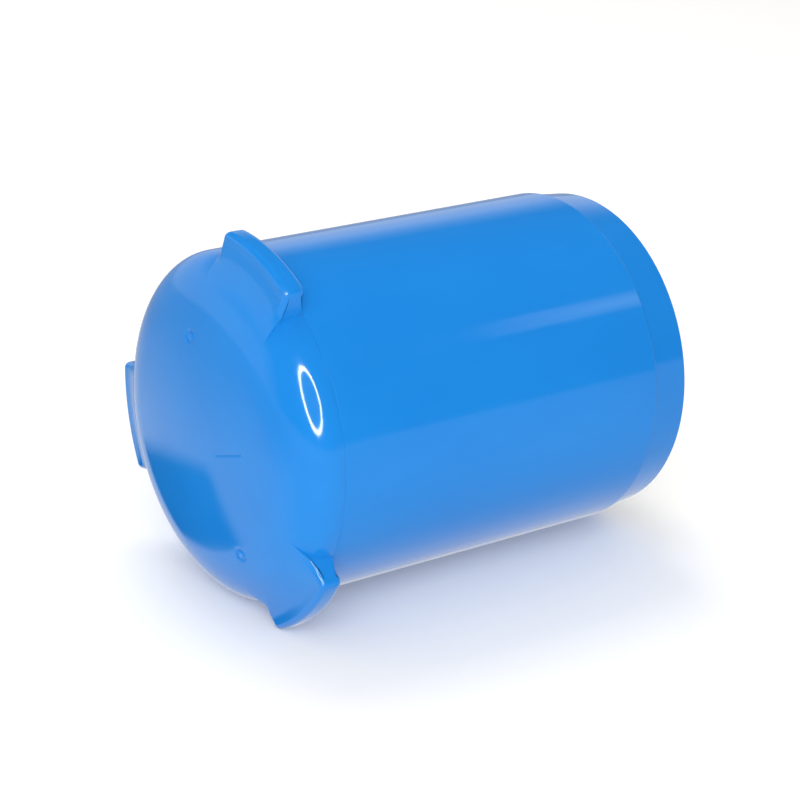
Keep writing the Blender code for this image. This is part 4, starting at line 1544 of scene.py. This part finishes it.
@dataclass
class Outlet:
    """The outlet spigot with its threaded stem, the lock nut, and the seals round them."""

    housing: Housing
    socket_in: float = 0.1193
    socket_radius: float = 0.0246
    socket_bore: float = 0.0204
    ring_section: float = 0.0028
    ring_groove_floor: float = 0.0219
    ring_station: float = 0.1253
    flange_radius: float = 0.0320
    flange_in: float = 0.1370
    flange_out: float = 0.1405
    stem_radius: float = 0.0189
    stem_bore: float = 0.0155
    stem_out: float = 0.1750
    screw_from: float = 0.1560
    screw_pitch: float = 0.0023
    screw_depth: float = 0.0010
    land_in: float = 0.1437
    hub_floor: float = 0.1551
    seat_radius: float = 0.0297
    gasket_thickness: float = 0.0020
    washer_thickness: float = 0.0015
    nut_flats: float = 0.0470
    nut_thickness: float = 0.0080
    nut_chamfer: float = 0.0012
    on_wall: float = 1e-5

    def build(self) -> None:
        """Build the outlet's pieces."""
        self.build_spigot()
        self.build_seals()
        self.build_nut()

    def build_spigot(self) -> None:
        """Turn the spigot and wind the fine thread on its stem."""
        half = self.ring_section / 2 + GAP
        low, high = self.ring_station - half, self.ring_station + half
        small, soft = 0.0002, 0.0006
        throat = self.flange_in - (self.socket_bore - self.stem_bore)
        lower = [
            (self.stem_bore, self.flange_in, 0.0010),
            (self.socket_bore, throat, 0.0010),
            (self.socket_bore, self.socket_in, soft),
            (self.socket_radius, self.socket_in, soft),
            (self.socket_radius, low, small),
            (self.ring_groove_floor, low, small),
            (self.ring_groove_floor, high, small),
            (self.socket_radius, high, small),
            (self.socket_radius, self.flange_in, 0.0008),
            (self.flange_radius, self.flange_in, soft),
            (self.flange_radius, self.flange_out, soft),
            (self.stem_radius, self.flange_out, 0.0003),
            (self.stem_radius, self.screw_from - 0.0010, 0.0),
        ]
        rings = 84
        screw_to = self.stem_out - 0.0014
        spacing = (screw_to - self.screw_from) / rings
        wall = [(self.stem_radius, self.screw_from + spacing * i) for i in range(rings + 1)]
        upper = [
            (self.stem_radius, self.stem_out, 0.0011),
            (self.stem_bore, self.stem_out, 0.0006),
        ]
        start = rounded([upper[-1], *lower, (*wall[0], 0.0)], 4, closed=False)[1:-1]
        end = rounded([(*wall[-1], 0.0), *upper, lower[0]], 4, closed=False)[1:-1]
        bm = spun(start + wall + end, 128)
        for vert in bm.verts:
            radius = hypot(vert.co.x, vert.co.y)
            inside = self.screw_from - MERGE < vert.co.z < screw_to + MERGE
            if abs(radius - self.stem_radius) > self.on_wall or not inside:
                continue
            turns = vert.co.z / self.screw_pitch - atan2(vert.co.y, vert.co.x) / tau
            valley = (0.5 - 0.5 * cos(tau * turns)) ** 1.4
            ends = min(vert.co.z - self.screw_from, screw_to - vert.co.z) / (0.8 * self.screw_pitch)
            moved = radius - self.screw_depth * valley * smooth(ends)
            vert.co.x *= moved / radius
            vert.co.y *= moved / radius
        self.housing.hand_over(
            bm, "spigot_moulding", STEM_GREY, Body.BASE, Slot.GREY_PLASTIC, "outlet_spigot"
        )

    def build_seals(self) -> None:
        """Turn the O-ring, the two gaskets and the slip washer."""
        turn, inner = self.housing.turn, self.stem_radius + GAP
        middle = self.ring_groove_floor + GAP + self.ring_section / 2
        bm = spun(o_ring_outline(middle, self.ring_section / 2, self.ring_station), 96)
        self.housing.hand_over(
            bm, "socket_o_ring", BLACK_SEAL, Body.BASE, Slot.SEAL_RUBBER, "spigot_o_ring"
        )
        flange_gasket = tube(
            inner, self.flange_radius - GAP, self.flange_out + GAP, self.land_in - GAP, 0.0004
        )
        turn("flange_gasket", flange_gasket, BLACK_SEAL, Body.BASE, Slot.SEAL_RUBBER, "spigot_gasket")
        low = self.hub_floor + GAP
        high = low + self.gasket_thickness
        gasket = tube(inner, self.seat_radius, low, high, 0.0004)
        turn("hub_gasket", gasket, BLACK_SEAL, Body.BASE, Slot.SEAL_RUBBER, "wall_gasket")
        low, high = high + GAP, high + GAP + self.washer_thickness
        washer = tube(inner, self.seat_radius - GAP, low, high, 0.0003)
        turn("nylon_washer", washer, BASE_PALE, Body.BASE, Slot.PALE_PLASTIC, "slip_washer")

    def build_nut(self) -> None:
        """Cut the lock nut from a chamfered turned blank."""
        low = self.hub_floor + 3 * GAP + self.gasket_thickness + self.washer_thickness
        high = low + self.nut_thickness
        inner = self.stem_radius + GAP
        corner = self.nut_flats / 2 / cos(pi / 6)
        chamfer = self.nut_chamfer
        profile = rounded(
            [
                (inner, low, 0.0006),
                (inner, high, 0.0006),
                (corner - chamfer, high, 0.0002),
                (corner, high - chamfer / 2, 0.0),
                (corner, low + chamfer / 2, 0.0),
                (corner - chamfer, low, 0.0002),
            ]
        )
        bm = spun(profile, 144)
        tool = bmesh.new()
        bmesh.ops.create_cone(
            tool,
            cap_ends=True,
            segments=6,
            radius1=corner,
            radius2=corner,
            depth=3 * self.nut_thickness,
            matrix=Matrix.Translation((0, 0, low)),
        )
        upright = [e for e in tool.edges if abs(e.verts[0].co.z - e.verts[1].co.z) > self.nut_thickness]
        bmesh.ops.bevel(
            tool, geom=upright, offset=0.0009, affect="EDGES", segments=4, profile=0.5, material=-1
        )
        bm = carved(bm, tool, Cut.KEEP)
        self.housing.hand_over(bm, "hexagon_nut", STEM_GREY, Body.BASE, Slot.GREY_PLASTIC, "lock_nut")


# ---------------------------------------------------------------------------------------------------------
# Cartridge
# ---------------------------------------------------------------------------------------------------------


@dataclass
class Cartridge:
    """The pleated cartridge: cast end caps, felt, the bands that hold it, its core, and the cup's cushion."""

    housing: Housing
    radius: float = 0.0530
    bore: float = 0.0253
    low: float = -0.0047
    high: float = 0.1313
    cap: float = 0.0080
    pleats: int = 72
    pleat_root: float = 0.0287
    pleat_tip: float = 0.0504
    felt: float = 0.0007
    band_width: float = 0.0060
    band_thickness: float = 0.0008
    cushion_low: float = -0.0074
    cushion_high: float = -0.0050
    cushion_width: float = 0.0068

    def build(self) -> None:
        """Build the cartridge's pieces."""
        for name, low, node in (
            ("dome_end_cap", self.low, "cartridge_cap_dome"),
            ("base_end_cap", self.high - self.cap, "cartridge_cap_base"),
        ):
            corners = self.cap_corners(low, name == "dome_end_cap")
            self.housing.turn(name, corners, CAP_BLUE, Body.CARTRIDGE, Slot.CAP_RUBBER, node, 128)
        self.build_felt()
        for number in (1, 2):
            self.build_band(number)
        cushion = tube(
            self.bore - GAP, self.bore + self.cushion_width, self.cushion_low, self.cushion_high, 0.0008
        )
        self.housing.turn(
            "end_cushion", cushion, BLACK_SEAL, Body.CUP, Slot.SEAL_RUBBER, "cartridge_cushion"
        )
        self.dress_core()

    def cap_corners(self, low: float, faces_down: bool) -> list[Corner]:
        """Draw a cast cap, with a shallow casting dish in its outer face.

        Args:
            low: Station of its lower face.
            faces_down: Whether its outer face is the lower one.

        Returns:
            The section's corners.
        """
        high, dish = low + self.cap, 0.0005
        inner, outer = self.bore, self.radius
        dish_in, dish_out = inner + 0.0050, outer - 0.0045
        corners = [(inner, low, 0.0006), (inner, high, 0.0006), (outer, high, 0.0015), (outer, low, 0.0015)]
        if faces_down:
            return corners + [
                (dish_out, low, 0.0005),
                (dish_out - dish, low + dish, 0.0005),
                (dish_in + dish, low + dish, 0.0005),
                (dish_in, low, 0.0005),
            ]
        face = [
            (dish_in, high, 0.0005),
            (dish_in + dish, high - dish, 0.0005),
            (dish_out - dish, high - dish, 0.0005),
            (dish_out, high, 0.0005),
        ]
        return corners[:2] + face + corners[2:]

    def felt_span(self) -> Point:
        """Stations between which the felt shows."""
        return self.low + self.cap + GAP, self.high - self.cap - GAP

    def build_felt(self) -> None:
        """Fold the felt into deep rounded pleats round the core."""
        low, high = self.felt_span()
        bm = bmesh.new()
        loops: list[list[BMEdge]] = []
        for inset in (0.0, self.felt):
            verts = [bm.verts.new((*spot, low)) for spot in self.fold_line(inset)]
            loops.append([bm.edges.new((verts[i - 1], verts[i])) for i in range(len(verts))])
        sheet = bmesh.ops.bridge_loops(bm, edges=loops[0] + loops[1])["faces"]
        steps = 6
        front = sheet
        for step in range(steps):
            behind = front
            grown = bmesh.ops.extrude_face_region(bm, geom=front)["geom"]
            front = [item for item in grown if isinstance(item, BMFace)]
            raised = [item for item in grown if isinstance(item, BMVert)]
            bmesh.ops.translate(bm, verts=raised, vec=(0, 0, (high - low) / steps))
            if step > 0:
                left = [face for face in behind if face.is_valid]
                bmesh.ops.delete(bm, geom=left, context="FACES")
        self.housing.hand_over(
            bm, "pleated_felt", MEDIA_WHITE, Body.CARTRIDGE, Slot.FILTER_MEDIA, "pleated_media"
        )

    def fold_line(self, inset: float) -> Iterable[Point]:
        """Draw the folded sheet's line round the core.

        Args:
            inset: How far the line lies below the sheet's outer side.

        Returns:
            The line's points, in order.
        """
        per_pleat = 12
        span = self.pleat_tip - self.pleat_root - self.felt
        for i in range(self.pleats * per_pleat):
            phase = tau * i / per_pleat
            swing = 0.5 - 0.5 * cos(phase)
            eased = swing + 0.12 * sin(2 * phase) * sin(phase)
            radius = self.pleat_root + self.felt - inset + span * min(1.0, max(0.0, eased))
            angle = tau * i / (self.pleats * per_pleat)
            yield radius * cos(angle), radius * sin(angle)

    def build_band(self, number: int) -> None:
        """Turn one of the two bands that keep the pleats apart.

        Args:
            number: The band's number.
        """
        low, high = self.felt_span()
        middle = low + (high - low) * number / 3
        inner = self.radius - 0.0022
        band = tube(
            inner,
            inner + self.band_thickness,
            middle - self.band_width / 2,
            middle + self.band_width / 2,
            0.0003,
        )
        self.housing.turn(
            f"pleat_band_{number}",
            band,
            MEDIA_WHITE,
            Body.CARTRIDGE,
            Slot.FILTER_MEDIA,
            f"media_band_{number}",
            144,
        )

    def dress_core(self) -> None:
        """Give the carried core its finish."""
        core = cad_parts["cartridge_core"]
        core.data.materials.clear()
        core.data.materials.append(BASE_PALE.material())


# ---------------------------------------------------------------------------------------------------------
# Studio
# ---------------------------------------------------------------------------------------------------------


@dataclass
class Studio:
    """A pale floor, soft light all round, a ring light by the camera and a narrow strip light."""

    target: tuple[float, float, float] = (-0.0118, -0.00628, 0.05885)
    azimuth: float = radians(36.141)
    elevation: float = radians(21.639)
    roll: float = radians(-2.037)
    distance: float = 0.8568
    lens_mm: float = 106.78
    sensor_mm: float = 36.0
    floor_size: float = 12.0
    floor_glow: float = 0.17
    sky_strength: float = 0.62
    horizon_strength: float = 0.72
    ring_lamps: int = 40
    ring_spread: float = radians(17)
    ring_lamp_size: float = 0.042
    ring_distance: float = 0.80
    ring_watts: float = 0.13
    ring_way: tuple[float, float, float] = (-0.582, -0.686, 0.438)
    softboxes: tuple[tuple[str, tuple[float, float, float], float, float, float], ...] = (
        ("front_fill", (-0.60, -0.75, 0.50), 1.2, 0.9, 7.5),
        ("back_softbox", (0.15, 0.55, 1.0), 1.5, 0.8, 7.5),
    )
    strip_way: tuple[float, float, float] = (0.632, -0.490, 0.599)
    strip_distance: float = 1.374
    strip_layers: tuple[tuple[float, float, float], ...] = (
        (0.06, 0.060, 0.014),
        (0.13, 0.120, 0.045),
        (0.22, 0.200, 0.110),
    )

    def build(self) -> None:
        """Build the camera, the floor and the lights."""
        self.build_camera()
        self.build_floor()
        self.build_sky()
        self.build_lights()
        bpy.context.scene.view_settings.view_transform = "Standard"

    def forward(self) -> Vector:
        """Direction in which the camera looks."""
        level = cos(self.elevation)
        return Vector((sin(self.azimuth) * level, cos(self.azimuth) * level, -sin(self.elevation)))

    def build_camera(self) -> None:
        """Place the camera."""
        camera = bpy.data.cameras.new("view_camera")
        camera.lens = self.lens_mm
        camera.sensor_width = self.sensor_mm
        camera.clip_start = 0.01
        camera.clip_end = 50.0
        made = bpy.data.objects.new("view_camera", camera)
        bpy.context.collection.objects.link(made)
        place = Vector(self.target) - self.forward() * self.distance
        look = self.forward().to_track_quat("-Z", "Y").to_matrix().to_4x4()
        made.matrix_world = Matrix.Translation(place) @ look @ Matrix.Rotation(-self.roll, 4, "Z")
        bpy.context.scene.camera = made

    def build_floor(self) -> None:
        """Lay the pale floor."""
        bm = bmesh.new()
        bmesh.ops.create_grid(bm, x_segments=8, y_segments=8, size=self.floor_size / 2)
        floor = wrapped(bm, "studio_floor")
        material = bpy.data.materials.new("studio_paper")
        material.use_nodes = True
        shader = material.node_tree.nodes["Principled BSDF"]
        shader.inputs["Base Color"].default_value = hex_colour("#F6F5F3")
        shader.inputs["Roughness"].default_value = 0.8
        shader.inputs["Specular IOR Level"].default_value = 0.1
        shader.inputs["Emission Color"].default_value = (1.0, 0.99, 0.98, 1.0)
        tree = material.node_tree
        seen = add_node(tree, Kind.RAY, output="Is Camera Ray")
        glow = add_node(tree, Kind.RANGE, {"Value": seen, "To Max": self.floor_glow})
        tree.links.new(glow, shader.inputs["Emission Strength"])
        floor.data.materials.append(material)
        floor.visible_glossy = False

    def build_sky(self) -> None:
        """Light the room evenly, and let shiny pieces mirror a backdrop, pale paper and a darker room."""
        world = bpy.data.worlds.new("studio_room")
        world.use_nodes = True
        bpy.context.scene.world = world
        tree = world.node_tree
        even = tree.nodes["Background"]
        even.inputs["Color"].default_value = (1.0, 1.0, 1.0, 1.0)
        even.inputs["Strength"].default_value = self.sky_strength
        seen = add_node(tree, Kind.GLOW, {"Color": self.mirrored_room(tree), "Strength": 1.0})
        horizon = add_node(
            tree, Kind.GLOW, {"Color": (1.0, 1.0, 1.0, 1.0), "Strength": self.horizon_strength}
        )
        shiny = add_node(tree, Kind.RAY, output="Is Glossy Ray")
        direct = add_node(tree, Kind.RAY, output="Is Camera Ray")
        lit = add_node(tree, Kind.CHOICE, {0: shiny, 1: even.outputs[0], 2: seen})
        whole = add_node(tree, Kind.CHOICE, {0: direct, 1: lit, 2: horizon})
        tree.links.new(whole, tree.nodes["World Output"].inputs["Surface"])

    def mirrored_room(self, tree: bpy.types.NodeTree) -> bpy.types.NodeSocket:
        """Paint what shiny pieces mirror, by direction: X to the right, Y away, Z up.

        Args:
            tree: The world's node tree.

        Returns:
            The room's tone in each direction.
        """
        way = add_node(tree, Kind.COORDINATES, output="Generated")
        across, depth, height = (add_node(tree, Kind.AXES, {0: way}, output=axis) for axis in "XYZ")
        spans = {
            "backdrop": (depth, 0.05, 0.35),
            "near": (height, -0.20, -0.38),
            "away": (depth, -0.20, 0.20),
            "down": (height, 0.02, -0.02),
        }
        shares = {
            name: add_node(tree, Kind.RANGE, {"Value": value, "From Min": start, "From Max": end})
            for name, (value, start, end) in spans.items()
        }
        ceiling = add_node(tree, Kind.RAMP, {"Fac": height}, [(0.0, 0.75), (0.28, 0.75), (0.50, 0.10)])
        dark = (0.10, 0.10, 0.11, 1.0)
        room = add_node(
            tree, Kind.MIX, {0: shares["backdrop"], 6: dark, 7: ceiling}, output=2, data_type="RGBA"
        )
        far, close = (0.40, 0.40, 0.40, 1.0), (0.85, 0.85, 0.85, 1.0)
        paper = add_node(tree, Kind.MIX, {0: shares["near"], 6: far, 7: close}, output=2, data_type="RGBA")
        shadowed = (0.55, 0.55, 0.55, 1.0)
        paper = add_node(
            tree, Kind.MIX, {0: shares["away"], 6: shadowed, 7: paper}, output=2, data_type="RGBA"
        )
        # Painted shadow: a near-black patch in the mirrored floor stands in for the floor's contact shadow
        # beside the dome, mirrored by the lower part of the face.
        shadow_patch = add_node(tree, Kind.RANGE, {"Value": depth, "From Min": 0.45, "From Max": 0.55})
        sides = (
            (height, -0.415, -0.440),
            (height, -0.585, -0.550),
            (across, -0.540, -0.500),
            (across, -0.06, -0.12),
        )
        for value, start, end in sides:
            side = add_node(tree, Kind.RANGE, {"Value": value, "From Min": start, "From Max": end})
            shadow_patch = add_node(tree, Kind.MATHS, {0: shadow_patch, 1: side}, operation="MULTIPLY")
        black = (0.03, 0.03, 0.03, 1.0)
        ground = add_node(tree, Kind.MIX, {0: shadow_patch, 6: paper, 7: black}, output=2, data_type="RGBA")
        return add_node(
            tree, Kind.MIX, {0: shares["down"], 6: room, 7: ground}, output=2, data_type="RGBA"
        )

    def lamp(
        self,
        name: str,
        way: Vector,
        distance: float,
        size: tuple[float, float],
        watts: float,
        mirrored: bool,
    ) -> None:
        """Hang an area lamp that shines at the target.

        Args:
            name: The lamp's name.
            way: Direction from the target to the lamp.
            distance: How far off it hangs.
            size: Its width and height.
            watts: Its power.
            mirrored: Whether it is only there to be mirrored, or only there to light.
        """
        data = bpy.data.lights.new(name, "AREA")
        data.shape = "ELLIPSE" if size[0] == size[1] else "RECTANGLE"
        data.size, data.size_y = size
        data.energy = watts
        made = bpy.data.objects.new(name, data)
        bpy.context.collection.objects.link(made)
        away = way.normalized()
        level = (Vector((1, 0, 0)) - away * away.x).normalized()
        turned = Matrix((level, away.cross(level), away)).transposed().to_4x4()
        made.matrix_world = Matrix.Translation(Vector(self.target) + away * distance) @ turned
        made.visible_glossy = mirrored
        made.visible_diffuse = not mirrored
        made.visible_camera = False

    def build_lights(self) -> None:
        """Hang the lamps."""
        towards_camera = Vector(self.ring_way).normalized()
        side = towards_camera.cross(Vector((0, 0, 1))).normalized()
        up = side.cross(towards_camera)
        size = (self.ring_lamp_size, self.ring_lamp_size)
        for i in range(self.ring_lamps):
            angle = tau * i / self.ring_lamps
            off = (side * cos(angle) + up * sin(angle)) * tan(self.ring_spread)
            way = towards_camera + off
            self.lamp(f"ring_lamp_{i + 1}", way, self.ring_distance, size, self.ring_watts, True)
        for name, way, distance, width, watts in self.softboxes:
            self.lamp(name, Vector(way), distance, (width, width), watts, False)
        strip = Vector(self.strip_way)
        for number, (width, height, watts) in enumerate(self.strip_layers, start=1):
            self.lamp(f"strip_lamp_{number}", strip, self.strip_distance, (width, height), watts, True)


def main() -> None:
    """Build the housing's looks and the studio."""
    logging.basicConfig(level=logging.INFO, format="%(message)s")
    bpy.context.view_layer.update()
    housing = Housing()
    thread = PlugThread()
    Cup(housing, thread).build()
    Base(housing, thread).build()
    Outlet(housing).build()
    Cartridge(housing).build()
    Studio().build()


if __name__ == "__main__":
    main()
